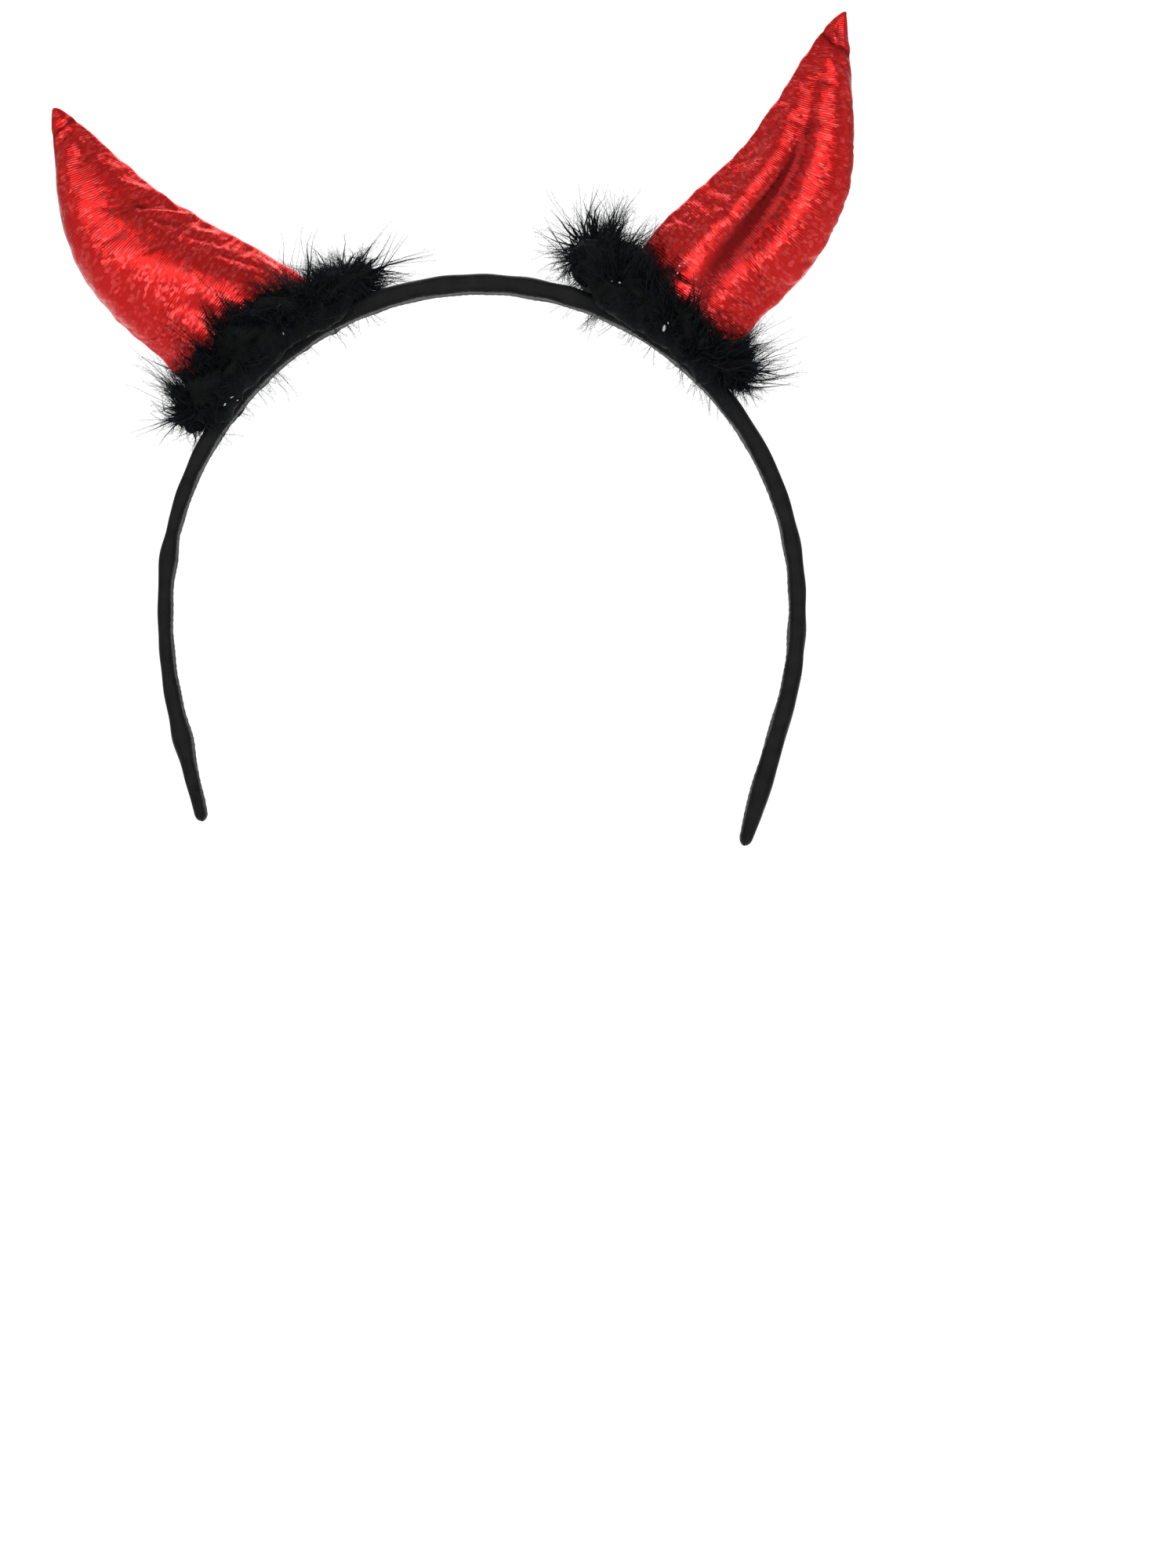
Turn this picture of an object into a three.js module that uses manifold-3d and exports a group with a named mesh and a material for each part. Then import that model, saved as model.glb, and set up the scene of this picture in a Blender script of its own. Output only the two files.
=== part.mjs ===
// A pair of stuffed devil horns on a cloth-covered headband, with a feather trim wound round each horn's foot.
// Millimetres, +Z up, and the front faces -Y. Left and right are as seen from the front, so +X is to the right.
// The origin is the middle of the strip's inner face at the crown, where the band sits on the head.

import * as THREE from "three";
import { mergeVertices } from "three/addons/utils/BufferGeometryUtils.js";
import Module from "manifold-3d";

const wasm = await Module();
wasm.setup();

// Driving dimensions of the headband strip. Each arm is a quarter of an ellipse from the crown down to its
// widest level, then a short upright length, a bend inwards and a straight grip.
const STRIP_WIDTH = 9.6;
const STRIP_THICKNESS = 4.3;
const STRIP_CROWNING = 0.45;
const STRIP_EDGE_RADIUS = 1.3;
const CROWN_HEIGHT = 79.2;
const LEFT_HALF_SPAN = 78.1;
const RIGHT_HALF_SPAN = 78.8;
const ARM_UPRIGHT = 3;
const LEFT_GRIP_LENGTH = 27;
const RIGHT_GRIP_LENGTH = 34;
const ARMS = {
  left: { halfSpan: LEFT_HALF_SPAN, bendRadius: 107, bendAngle: 13.5, grip: LEFT_GRIP_LENGTH },
  right: { halfSpan: RIGHT_HALF_SPAN, bendRadius: 87, bendAngle: 16.5, grip: RIGHT_GRIP_LENGTH },
};
const TAPER_LENGTH = 13;
const TAPERED_SHARE = 0.68;
const END_ROUNDING = 2.2;

// Driving dimensions of the horns. A seat is how far from the crown, along the strip, a horn's foot is centred.
const LEFT_HORN_SEAT = 53.9;
const RIGHT_HORN_SEAT = 51.8;
const LEFT_HORN_LENGTH = 80.2;
const RIGHT_HORN_LENGTH = 89.4;
const LEFT_HORN_WIDTH = 37.7;
const RIGHT_HORN_WIDTH = 34.5;
const HORNS = {
  left: { seat: LEFT_HORN_SEAT, length: LEFT_HORN_LENGTH, width: LEFT_HORN_WIDTH, depth: 25.5 },
  right: { seat: RIGHT_HORN_SEAT, length: RIGHT_HORN_LENGTH, width: RIGHT_HORN_WIDTH, depth: 24.5 },
};
const SEAM_PINCH = 0.26;
const FOOT_LEVEL_LENGTH = 9;

// Driving dimensions of the feather trims
const TRIM_THICKNESS = 9.5;
const TRIM_HEIGHT = 13;
const TRIM_OVERHANG = 6.4;
const TRIM_BITE = 3;
const TRIM_RUFFLE = 1.6;
const LOCK_LENGTH = 9.5;
const LOCK_WIDTH = 6;
const LOCK_DEPTH = 3.6;
const LOCK_CURL = 0.35;

// Clearance between pieces that rest on each other
const SEAT_GAP = 0.3;

// Facets
const STRIP_SIDES = 16;
const STRIP_STEPS = 52;
const HORN_SIDES = 20;
const HORN_STEPS = 29;
const HORN_FOOT_RINGS = 4;
const TRIM_SIDES = 8;
const TRIM_STEPS = 24;
const LOCK_SIDES = 5;

// Slack and gathers of the strip's cover. `at` runs from the left end to the right end, and `swell` is the
// share of the strip's thickness that is added there.
const COVER_GATHERS = [
  { at: 0.0, swell: -0.14 },
  { at: 0.02, swell: -0.14 },
  { at: 0.05, swell: -0.14 },
  { at: 0.08, swell: -0.14 },
  { at: 0.1, swell: -0.22 },
  { at: 0.14, swell: -0.26 },
  { at: 0.2, swell: -0.23 },
  { at: 0.23, swell: -0.2 },
  { at: 0.28, swell: -0.04 },
  { at: 0.36, swell: 0.02 },
  { at: 0.5, swell: 0.02 },
  { at: 0.68, swell: 0.0 },
  { at: 0.78, swell: -0.1 },
  { at: 0.86, swell: -0.1 },
  { at: 0.92, swell: -0.04 },
  { at: 0.95, swell: -0.04 },
  { at: 0.98, swell: -0.04 },
  { at: 1.0, swell: -0.04 },
];

// Level sections of a horn, from foot to tip. `rise` is a share of the horn's length, `crown` and `arm` are how
// far its edges reach from the middle of its foot towards the crown and down the arm, as shares of its width,
// and `depth` is a share of its depth.
const HORN_SECTIONS = {
  left: [
    { rise: 0.0, crown: 0.37, arm: 0.5, depth: 0.5 },
    { rise: 0.09, crown: 0.45, arm: 0.585, depth: 0.78 },
    { rise: 0.2, crown: 0.395, arm: 0.612, depth: 0.95 },
    { rise: 0.3, crown: 0.315, arm: 0.645, depth: 1.0 },
    { rise: 0.4, crown: 0.228, arm: 0.67, depth: 0.99 },
    { rise: 0.5, crown: 0.15, arm: 0.666, depth: 0.94 },
    { rise: 0.6, crown: 0.083, arm: 0.63, depth: 0.84 },
    { rise: 0.7, crown: 0.048, arm: 0.555, depth: 0.71 },
    { rise: 0.8, crown: 0.012, arm: 0.432, depth: 0.54 },
    { rise: 0.87, crown: -0.005, arm: 0.325, depth: 0.38 },
    { rise: 0.92, crown: -0.025, arm: 0.252, depth: 0.2 },
    { rise: 0.96, crown: -0.048, arm: 0.19, depth: 0.19 },
    { rise: 1.0, crown: -0.07, arm: 0.125, depth: 0.1 },
  ],
  right: [
    { rise: 0.0, crown: 0.47, arm: 0.29, depth: 0.52 },
    { rise: 0.09, crown: 0.59, arm: 0.335, depth: 0.8 },
    { rise: 0.18, crown: 0.638, arm: 0.352, depth: 0.94 },
    { rise: 0.27, crown: 0.615, arm: 0.375, depth: 1.0 },
    { rise: 0.36, crown: 0.577, arm: 0.403, depth: 1.0 },
    { rise: 0.43, crown: 0.545, arm: 0.392, depth: 0.96 },
    { rise: 0.5, crown: 0.515, arm: 0.354, depth: 0.92 },
    { rise: 0.6, crown: 0.502, arm: 0.278, depth: 0.82 },
    { rise: 0.7, crown: 0.513, arm: 0.145, depth: 0.68 },
    { rise: 0.8, crown: 0.542, arm: -0.04, depth: 0.51 },
    { rise: 0.88, crown: 0.56, arm: -0.215, depth: 0.35 },
    { rise: 0.93, crown: 0.563, arm: -0.328, depth: 0.2 },
    { rise: 0.965, crown: 0.556, arm: -0.415, depth: 0.19 },
    { rise: 1.0, crown: 0.542, arm: -0.487, depth: 0.1 },
  ],
};

// Hollows and pinched wrinkles in a horn's panels. `along` and `across` place the middle, as shares of the
// length from the foot and of the half width, with the right edge at 1. `run` and `spread` are the half length
// and half breadth in the same shares, `slant` is how far `across` moves over one `run`, and `sink` is a share
// of the half depth.
const HORN_DENTS = {
  left: [
    { face: "front", along: 0.6, across: 0.8, run: 0.05, spread: 0.4, slant: 0.2, sink: 0.14 },
    { face: "front", along: 0.46, across: 0.8, run: 0.045, spread: 0.4, slant: 0.2, sink: 0.15 },
    { face: "front", along: 0.2, across: 0.58, run: 0.13, spread: 0.13, slant: 0.12, sink: 0.16 },
    { face: "front", along: 0.16, across: -0.15, run: 0.12, spread: 0.13, slant: -0.08, sink: 0.13 },
    { face: "front", along: 0.72, across: -0.2, run: 0.14, spread: 0.22, slant: 0.05, sink: 0.1 },
    { face: "back", along: 0.42, across: 0.15, run: 0.2, spread: 0.24, slant: 0.15, sink: 0.18 },
    { face: "back", along: 0.68, across: -0.35, run: 0.12, spread: 0.22, slant: 0.15, sink: 0.13 },
    { face: "back", along: 0.17, across: -0.3, run: 0.12, spread: 0.15, slant: 0.1, sink: 0.14 },
  ],
  right: [
    { face: "front", along: 0.5, across: -0.03, run: 0.25, spread: 0.23, slant: -0.22, sink: 0.27 },
    { face: "front", along: 0.24, across: 0.72, run: 0.04, spread: 0.35, slant: -0.25, sink: 0.16 },
    { face: "front", along: 0.14, across: -0.4, run: 0.09, spread: 0.14, slant: 0.1, sink: 0.15 },
    { face: "front", along: 0.4, across: -0.82, run: 0.05, spread: 0.3, slant: -0.15, sink: 0.12 },
    { face: "back", along: 0.42, across: 0.05, run: 0.26, spread: 0.22, slant: -0.2, sink: 0.2 },
    { face: "back", along: 0.7, across: 0.3, run: 0.12, spread: 0.22, slant: -0.1, sink: 0.12 },
    { face: "back", along: 0.16, across: 0.3, run: 0.1, spread: 0.16, slant: 0.1, sink: 0.14 },
  ],
};

// Feather mass round a horn's foot. `towards` is in degrees from the crown side by way of the front. `thick`
// and `tall` are shares of the trim's thickness and height, and `reach` of a lock's length.
const TRIM_MASSES = {
  left: [
    { towards: 0, thick: 1.75, tall: 0.75, reach: 1.1 },
    { towards: 45, thick: 1.2, tall: 0.85, reach: 0.9 },
    { towards: 90, thick: 0.9, tall: 1.15, reach: 0.7 },
    { towards: 135, thick: 0.8, tall: 0.95, reach: 0.85 },
    { towards: 180, thick: 0.75, tall: 0.85, reach: 1.15 },
    { towards: 270, thick: 1.0, tall: 1.05, reach: 0.75 },
  ],
  right: [
    { towards: 0, thick: 1.75, tall: 1.4, reach: 1.0 },
    { towards: 45, thick: 1.15, tall: 1.0, reach: 0.8 },
    { towards: 90, thick: 0.85, tall: 0.7, reach: 0.65 },
    { towards: 135, thick: 0.8, tall: 0.6, reach: 0.75 },
    { towards: 180, thick: 0.95, tall: 0.7, reach: 1.1 },
    { towards: 270, thick: 1.0, tall: 0.95, reach: 0.75 },
  ],
};

// Rows of feather locks round the trim. `swing` is the row's place round the trim's section, in degrees up
// from straight out. `count` locks stand in the row, and `reach` is a share of a lock's length.
const LOCK_ROWS = [
  { swing: 82, count: 12, reach: 0.9 },
  { swing: 42, count: 16, reach: 1.0 },
  { swing: 2, count: 16, reach: 0.95 },
  { swing: -40, count: 14, reach: 0.75 },
];
const LOCK_STRAY = 0.6;

// The outline of a lock, from tip to root: `risen` is a share of its length and `girth` of its width.
const LOCK_OUTLINE = [
  { risen: 1.0, girth: 0.0 },
  { risen: 0.75, girth: 0.5 },
  { risen: 0.45, girth: 0.95 },
  { risen: 0.0, girth: 0.9 },
  { risen: 0.0, girth: 0.0 },
];

// The strip's four edges, by the side of it that they are on: outer or inner face, back or front.
const STRIP_EDGES = [
  [1, 1],
  [-1, 1],
  [-1, -1],
  [1, -1],
];

const SIDES = { left: -1, right: 1 };
const FULL_TURN = 2 * Math.PI;
const { clamp, degToRad, euclideanModulo, lerp, smoothstep } = THREE.MathUtils;

// A table's columns as smooth functions of its first column.
function reader(rows, ...columns) {
  const [first, ...others] = columns;
  const positions = rows.map((row) => row[first]);
  const values = rows.flatMap((row) => others.map((column) => row[column]));
  const curve = new THREE.CubicInterpolant(positions, values, others.length);
  return (at) => {
    const found = curve.evaluate(at);
    return Object.fromEntries(others.map((column, i) => [column, found[i]]));
  };
}

// The same for a table of bearings, which closes on itself after a full turn.
function turningReader(rows, ...columns) {
  const [first] = columns;
  const turned = [-360, 0, 360].flatMap((turn) => rows.map((row) => ({ ...row, [first]: row[first] + turn })));
  return reader(turned, ...columns);
}

// A repeatable number from 0 to 1 for the nth lock of a row.
function scatter(n, row) {
  const wave = Math.sin(n * 12.9898 + row * 78.233) * 43758.5453;
  return wave - Math.floor(wave);
}

// A closed skin with `sides` facets round and `steps` along, whose shares 0 and 1 are its two poles.
function skin(sides, steps, place) {
  const geometry = new THREE.SphereGeometry(1, sides, steps);
  const { position, uv } = geometry.attributes;
  for (let i = 0; i < position.count; i++) {
    const point = place(uv.getX(i), 1 - uv.getY(i));
    position.setXYZ(i, point.x, point.y, point.z);
  }
  geometry.computeVertexNormals();
  return geometry;
}

function toSolid(geometry) {
  const bare = geometry.clone();
  bare.deleteAttribute("normal");
  bare.deleteAttribute("uv");
  const merged = mergeVertices(bare, 1e-4);
  const vertProperties = merged.attributes.position.array;
  const triVerts = new Uint32Array(merged.index.array);
  return new wasm.Manifold(new wasm.Mesh({ numProp: 3, vertProperties, triVerts }));
}

function toGeometry(solid) {
  const { vertProperties, triVerts } = solid.getMesh();
  const geometry = new THREE.BufferGeometry();
  geometry.setAttribute("position", new THREE.BufferAttribute(vertProperties, 3));
  geometry.setIndex(new THREE.BufferAttribute(triVerts, 1));
  geometry.computeVertexNormals();
  return geometry;
}

// One arm's centre line, from the crown down to its end, drawn as if it were the right one.
function armRoute({ halfSpan, bendRadius, bendAngle, grip }) {
  const widestLevel = STRIP_THICKNESS / 2 - CROWN_HEIGHT;
  const bendLevel = widestLevel - ARM_UPRIGHT;
  const bend = degToRad(bendAngle);
  const gripRun = new THREE.Vector2(-Math.sin(bend), -Math.cos(bend));
  const route = new THREE.Path();
  route.absellipse(0, widestLevel, halfSpan, CROWN_HEIGHT, Math.PI / 2, 0, true);
  route.lineTo(halfSpan, bendLevel);
  route.absarc(halfSpan - bendRadius, bendLevel, bendRadius, 0, -bend, true);
  const { x, y } = route.currentPoint;
  route.lineTo(x + grip * gripRun.x, y + grip * gripRun.y);
  return route;
}

const ROUTES = { left: armRoute(ARMS.left), right: armRoute(ARMS.right) };
const ARM_LENGTHS = { left: ROUTES.left.getLength(), right: ROUTES.right.getLength() };
const STRIP_LENGTH = ARM_LENGTHS.left + ARM_LENGTHS.right;
const coverGathers = reader(COVER_GATHERS, "at", "swell");

// The strip's centre line and outward direction at a distance from the crown, and its size there: full and
// level over most of its length, tapered over the grips and rounded off at the ends.
function stripAt(distance) {
  const side = distance < 0 ? "left" : "right";
  const share = Math.min(Math.abs(distance) / ARM_LENGTHS[side], 1);
  const { x, y } = ROUTES[side].getPointAt(share);
  const run = ROUTES[side].getTangentAt(share);
  const fromEnd = (1 - share) * ARM_LENGTHS[side];
  const taper = lerp(TAPERED_SHARE, 1, smoothstep(fromEnd, 0, TAPER_LENGTH));
  const rounding = Math.sqrt(1 - (1 - Math.min(fromEnd / END_ROUNDING, 1)) ** 2);
  const swell = 1 + coverGathers((distance + ARM_LENGTHS.left) / STRIP_LENGTH).swell;
  return {
    centre: new THREE.Vector3(SIDES[side] * x, 0, y),
    outward: new THREE.Vector3(-SIDES[side] * run.y, 0, run.x),
    halfWidth: (STRIP_WIDTH / 2) * taper * rounding,
    halfThickness: (STRIP_THICKNESS / 2) * taper * rounding * swell,
    crowning: STRIP_CROWNING * taper * rounding * swell,
  };
}

// A point of the strip's section: a flat inner face, rounded edges and a slightly crowned outer face. Each
// quarter has its rounded edge and then one point in the middle of the flat that follows it.
function stripSection(around, { halfWidth, halfThickness, crowning }) {
  const quarterSides = STRIP_SIDES / 4;
  const edgeSides = quarterSides - 2;
  const place = Math.round(around * STRIP_SIDES) % STRIP_SIDES;
  const quarter = Math.floor(place / quarterSides);
  const step = place % quarterSides;
  const turn = degToRad(90) * (quarter + Math.min(step / edgeSides, 1));
  const out = Math.cos(turn);
  const across = Math.sin(turn);
  const [outSide, acrossSide] = step > edgeSides ? [Math.round(out), Math.round(across)] : STRIP_EDGES[quarter];
  const edge = Math.min(STRIP_EDGE_RADIUS, halfWidth, halfThickness);
  const y = acrossSide * (halfWidth - edge) + across * edge;
  const level = outSide * (halfThickness - edge) + out * edge;
  const fromEdge = 1 - (y / Math.max(halfWidth, STRIP_EDGE_RADIUS)) ** 2;
  return { y, level: level + (outSide > 0 ? crowning * fromEdge : 0) };
}

// The cloth-covered strip, `grown` all round where it is used to cut its neighbours. Its steps lie closer
// together towards the rounded ends.
function stripGeometry(grown = 0) {
  return skin(STRIP_SIDES, STRIP_STEPS, (around, share) => {
    const eased = (1 - Math.cos(share * Math.PI)) / 2;
    const here = stripAt(eased * STRIP_LENGTH - ARM_LENGTHS.left);
    const atPole = share === 0 || share === 1;
    here.halfWidth += atPole ? 0 : grown;
    here.halfThickness += atPole ? 0 : grown;
    const { y, level } = stripSection(around, here);
    const point = here.centre.addScaledVector(here.outward, level);
    return point.setY(y);
  });
}

// A point above the strip's outer face, `along` and `across` the strip from the middle of a horn's foot.
function onStrip(side, along, across, above) {
  const { centre, outward, halfThickness, crowning } = stripAt(SIDES[side] * HORNS[side].seat + along);
  const point = centre.addScaledVector(outward, halfThickness + crowning + SEAT_GAP + above);
  return point.setY(across);
}

// How far a horn's panel is pressed in at a place, as a share of its half depth.
function dentDepth(dents, face, along, across) {
  return dents
    .filter((dent) => dent.face === face)
    .reduce((sum, dent) => {
      const forward = (along - dent.along) / dent.run;
      const sideways = (across - dent.across - dent.slant * forward) / dent.spread;
      return sum + dent.sink * Math.exp(-(forward ** 2) - sideways ** 2);
    }, 0);
}

const hornSections = {
  left: reader(HORN_SECTIONS.left, "rise", "crown", "arm", "depth"),
  right: reader(HORN_SECTIONS.right, "rise", "crown", "arm", "depth"),
};

// A horn's level outline at a rise: its middle along the strip, its half width and its half depth.
function hornOutline(side, rise) {
  const { width, depth } = HORNS[side];
  const section = hornSections[side](rise);
  return {
    middle: (SIDES[side] * width * (section.arm - section.crown)) / 2,
    halfWidth: (width * (section.arm + section.crown)) / 2,
    halfDepth: (depth * section.depth) / 2,
  };
}

// The stuffed horn, `grown` all round where it is used to cut its trim. Two bulging panels meet in a seam
// along each edge, and the foot follows the strip's curve.
function hornGeometry(side, grown = 0) {
  const { length, seat } = HORNS[side];
  const foot = onStrip(side, 0, 0, 0);
  const upwards = stripAt(SIDES[side] * seat).outward;
  const sideways = new THREE.Vector3(upwards.z, 0, -upwards.x);
  return skin(HORN_SIDES, HORN_STEPS, (around, share) => {
    const ring = share * HORN_STEPS;
    const rise = clamp(1 - (ring - 1) / (HORN_STEPS - 1 - HORN_FOOT_RINGS), 0, 1);
    const fill = Math.min(ring, 1, (HORN_STEPS - ring) / HORN_FOOT_RINGS);
    const { middle, halfWidth, halfDepth } = hornOutline(side, rise);
    const across = Math.cos(around * FULL_TURN);
    const outOfPlane = Math.sin(around * FULL_TURN);
    const face = outOfPlane < 0 ? "front" : "back";
    const bulge = outOfPlane * (1 - SEAM_PINCH * across ** 2);
    const pressed = 1 - dentDepth(HORN_DENTS[side], face, rise, across);
    const x = middle + (halfWidth + grown) * across * fill;
    const y = (halfDepth * pressed + grown) * bulge * fill;
    const tipRounding = (1 - Math.min(ring, 1)) * (halfWidth / 2 + grown);
    const z = rise * length + tipRounding;
    const level = smoothstep(z, 0, FOOT_LEVEL_LENGTH);
    const straight = foot.clone().addScaledVector(sideways, x).addScaledVector(upwards, z).setY(y);
    return onStrip(side, x, y, z).lerp(straight, level);
  });
}

// The trim's section at an angle round the horn's foot: where it meets the horn, its outward direction, its
// half thickness, and its lowest and highest level. It bites into the strip, which cuts its seat, and hangs
// lower where it is beside the strip.
function trimSection(side, around) {
  const fromCrown = SIDES[side] < 0 ? -around : around - 0.5;
  const towards = euclideanModulo(fromCrown * 360, 360);
  const mass = turningReader(TRIM_MASSES[side], "towards", "thick", "tall", "reach")(towards);
  const foot = hornOutline(side, TRIM_HEIGHT / 2 / HORNS[side].length);
  const turn = new THREE.Vector2(Math.cos(around * FULL_TURN), Math.sin(around * FULL_TURN));
  const meeting = new THREE.Vector2(foot.middle + foot.halfWidth * turn.x, foot.halfDepth * turn.y);
  const outward = new THREE.Vector2(turn.x / foot.halfWidth, turn.y / foot.halfDepth).normalize();
  const beside = smoothstep(Math.abs(meeting.y), STRIP_WIDTH / 4, STRIP_WIDTH / 2 + SEAT_GAP);
  return {
    outward,
    meeting,
    beside,
    halfThick: (TRIM_THICKNESS * mass.thick + TRIM_BITE) / 2,
    lowest: -lerp(TRIM_BITE / 2, TRIM_OVERHANG, beside),
    highest: TRIM_HEIGHT * mass.tall,
    reach: mass.reach,
  };
}

// A point of the trim's section, `swing` radians up from straight out and `beyond` outside its surface.
function trimPoint(side, section, swing, beyond = 0) {
  const { meeting, outward, halfThick, lowest, highest } = section;
  const out = halfThick - TRIM_BITE + Math.cos(swing) * (halfThick + beyond);
  const above = (highest + lowest) / 2 + Math.sin(swing) * ((highest - lowest) / 2 + beyond);
  return onStrip(side, meeting.x + outward.x * out, meeting.y + outward.y * out, above);
}

// The trim's core: a closed, ruffled ring of feather round the horn's foot.
function trimCore(side) {
  const geometry = new THREE.TorusGeometry(2, 1, TRIM_SIDES, TRIM_STEPS);
  const { position, uv } = geometry.attributes;
  for (let i = 0; i < position.count; i++) {
    const step = Math.round(uv.getX(i) * TRIM_STEPS) % TRIM_STEPS;
    const place = Math.round(uv.getY(i) * TRIM_SIDES) % TRIM_SIDES;
    const ruffle = TRIM_RUFFLE * (scatter(step, place) - 0.5);
    const point = trimPoint(side, trimSection(side, uv.getX(i)), uv.getY(i) * FULL_TURN, ruffle);
    position.setXYZ(i, point.x, point.y, point.z);
  }
  return geometry;
}

// One flattened lock, rooted inside the core and curling over towards its tip.
function lockGeometry(root, tip, turn) {
  const growing = tip.clone().sub(root);
  const length = growing.length();
  const steps = LOCK_OUTLINE.length - 1;
  const upwards = new THREE.Vector3(0, 0, 1);
  const turned = new THREE.Quaternion().setFromUnitVectors(upwards, growing.normalize());
  return skin(LOCK_SIDES, steps, (around, share) => {
    const { risen, girth } = LOCK_OUTLINE[Math.round(share * steps)];
    const x = (LOCK_WIDTH / 2) * girth * Math.cos(around * FULL_TURN);
    const y = (LOCK_DEPTH / 2) * girth * Math.sin(around * FULL_TURN) + LOCK_CURL * length * risen ** 2;
    const point = new THREE.Vector3(x, y, risen * length).applyAxisAngle(upwards, turn);
    return point.applyQuaternion(turned).add(root);
  });
}

// The feather trim: its core with rows of locks fused on, cut clear of the horn and of the strip. No lock
// grows down through the strip.
function trimGeometry(side) {
  let solid = toSolid(trimCore(side));
  LOCK_ROWS.forEach(({ swing, count, reach }, row) => {
    for (let n = 0; n < count; n++) {
      const around = (n + LOCK_STRAY * scatter(n, row)) / count;
      const section = trimSection(side, around);
      if (swing < 0 && section.beside < 1) continue;
      const up = degToRad(swing);
      const length = LOCK_LENGTH * reach * section.reach * lerp(0.65, 1.35, scatter(n, row + count));
      const root = trimPoint(side, section, up, -LOCK_DEPTH);
      const tip = trimPoint(side, section, up, length);
      solid = solid.add(toSolid(lockGeometry(root, tip, scatter(row, n) * FULL_TURN)));
    }
  });
  solid = solid.subtract(toSolid(hornGeometry(side, SEAT_GAP)));
  return toGeometry(solid.subtract(toSolid(stripGeometry(SEAT_GAP))));
}

const blackCloth = new THREE.MeshStandardMaterial({ color: 0x17171a, roughness: 0.62, metalness: 0 });
const redFoilCloth = new THREE.MeshStandardMaterial({ color: 0xb4141a, roughness: 0.38, metalness: 0.75 });
const blackDown = new THREE.MeshStandardMaterial({ color: 0x0a0c0e, roughness: 0.95, metalness: 0 });

function piece(name, geometry, material) {
  const mesh = new THREE.Mesh(geometry, material);
  mesh.name = name;
  return mesh;
}

const headband = new THREE.Group();
headband.add(piece("headband_strip", stripGeometry(), blackCloth));
for (const side of Object.keys(SIDES)) {
  headband.add(piece(`horn_${side}`, hornGeometry(side), redFoilCloth));
  headband.add(piece(`feather_trim_${side}`, trimGeometry(side), blackDown));
}

export default headband;
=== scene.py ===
"""A devil horns headband: a cloth-covered strip, two stuffed foil-cloth horns and two down trims.

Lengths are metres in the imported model's frame: +Z up, -Y to the front, the origin under the strip's crown.
"""

import logging
import math
from dataclasses import dataclass
from enum import Enum
from typing import NamedTuple

import bpy
import numpy as np
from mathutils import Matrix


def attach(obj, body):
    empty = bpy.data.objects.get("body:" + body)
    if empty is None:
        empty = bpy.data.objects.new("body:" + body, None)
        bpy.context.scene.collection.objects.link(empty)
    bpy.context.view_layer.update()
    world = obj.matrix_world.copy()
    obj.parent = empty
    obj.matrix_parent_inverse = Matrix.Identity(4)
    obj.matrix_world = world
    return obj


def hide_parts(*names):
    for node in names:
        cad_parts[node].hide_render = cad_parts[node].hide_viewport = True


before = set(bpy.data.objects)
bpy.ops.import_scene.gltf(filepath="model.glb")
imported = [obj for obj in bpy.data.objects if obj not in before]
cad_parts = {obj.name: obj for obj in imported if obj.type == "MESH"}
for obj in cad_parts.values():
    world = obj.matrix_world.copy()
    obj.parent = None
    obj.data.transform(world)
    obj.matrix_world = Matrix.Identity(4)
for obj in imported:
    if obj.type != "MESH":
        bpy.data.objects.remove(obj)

log = logging.getLogger("headband")
Array = np.ndarray
Socket = bpy.types.NodeSocket

MM = 0.001
BODY = "root"


class Side(Enum):
    """The two arms of the headband as seen from the front, with the sign of +X on each."""

    LEFT = -1
    RIGHT = 1

    @property
    def label(self) -> str:
        """The side's name in lower case, as the nodes spell it."""
        return self.name.lower()


class Face(Enum):
    """The two panels of a horn, with the sign of +Y on each."""

    FRONT = -1
    BACK = 1


# Working with arrays


def smooth_step(values: Array, low: float, high: float) -> Array:
    """An S-shaped rise from 0 at `low` to 1 at `high`: three squares less two cubes of the share between.

    Args:
        values: Where the rise is read.
        low: The value at which the rise starts.
        high: The value at which it ends.

    Returns:
        The rise, from 0 to 1, in the shape of `values`.
    """
    share = np.clip((np.asarray(values, float) - low) / (high - low), 0, 1)
    return share * share * (3 - 2 * share)


def read_table(at: Array, positions: Array, column: Array) -> Array:
    """A smooth curve through a table's column: cubics between its rows, with the table's slope at each.

    Args:
        at: Where the column is read.
        positions: The table's first column, rising.
        column: The column that is read.

    Returns:
        The column's values at `at`, in the shape of `at`.
    """
    at = np.clip(at, positions[0], positions[-1])
    slopes = np.gradient(column, positions)
    row = np.clip(np.searchsorted(positions, at, side="right") - 1, 0, len(positions) - 2)
    run = positions[row + 1] - positions[row]
    t = (at - positions[row]) / run
    from_start = (1 + 2 * t) * (1 - t) ** 2 * column[row] + t * (1 - t) ** 2 * run * slopes[row]
    from_end = t * t * (3 - 2 * t) * column[row + 1] + t * t * (t - 1) * run * slopes[row + 1]
    return from_start + from_end


def waves(first: Array, second: Array, pitch: float, seed: int, count: int = 9) -> Array:
    """Soft irregular swells on a surface: the mean of plane waves with near pitches and chance directions.

    Args:
        first: The surface's first coordinate, in metres.
        second: Its second coordinate, in metres.
        pitch: The length of a typical swell.
        seed: The seed of the chance directions and phases.
        count: How many waves are added.

    Returns:
        The swells, mostly between -1 and 1.
    """
    chance = np.random.default_rng(seed)
    total = np.zeros(np.broadcast(first, second).shape)
    for _ in range(count):
        heading = chance.uniform(0, math.tau)
        turns = math.tau / (pitch * chance.uniform(0.7, 1.5))
        phase = chance.uniform(0, math.tau)
        total += np.sin(turns * (first * math.cos(heading) + second * math.sin(heading)) + phase)
    return total / math.sqrt(count)


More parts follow.
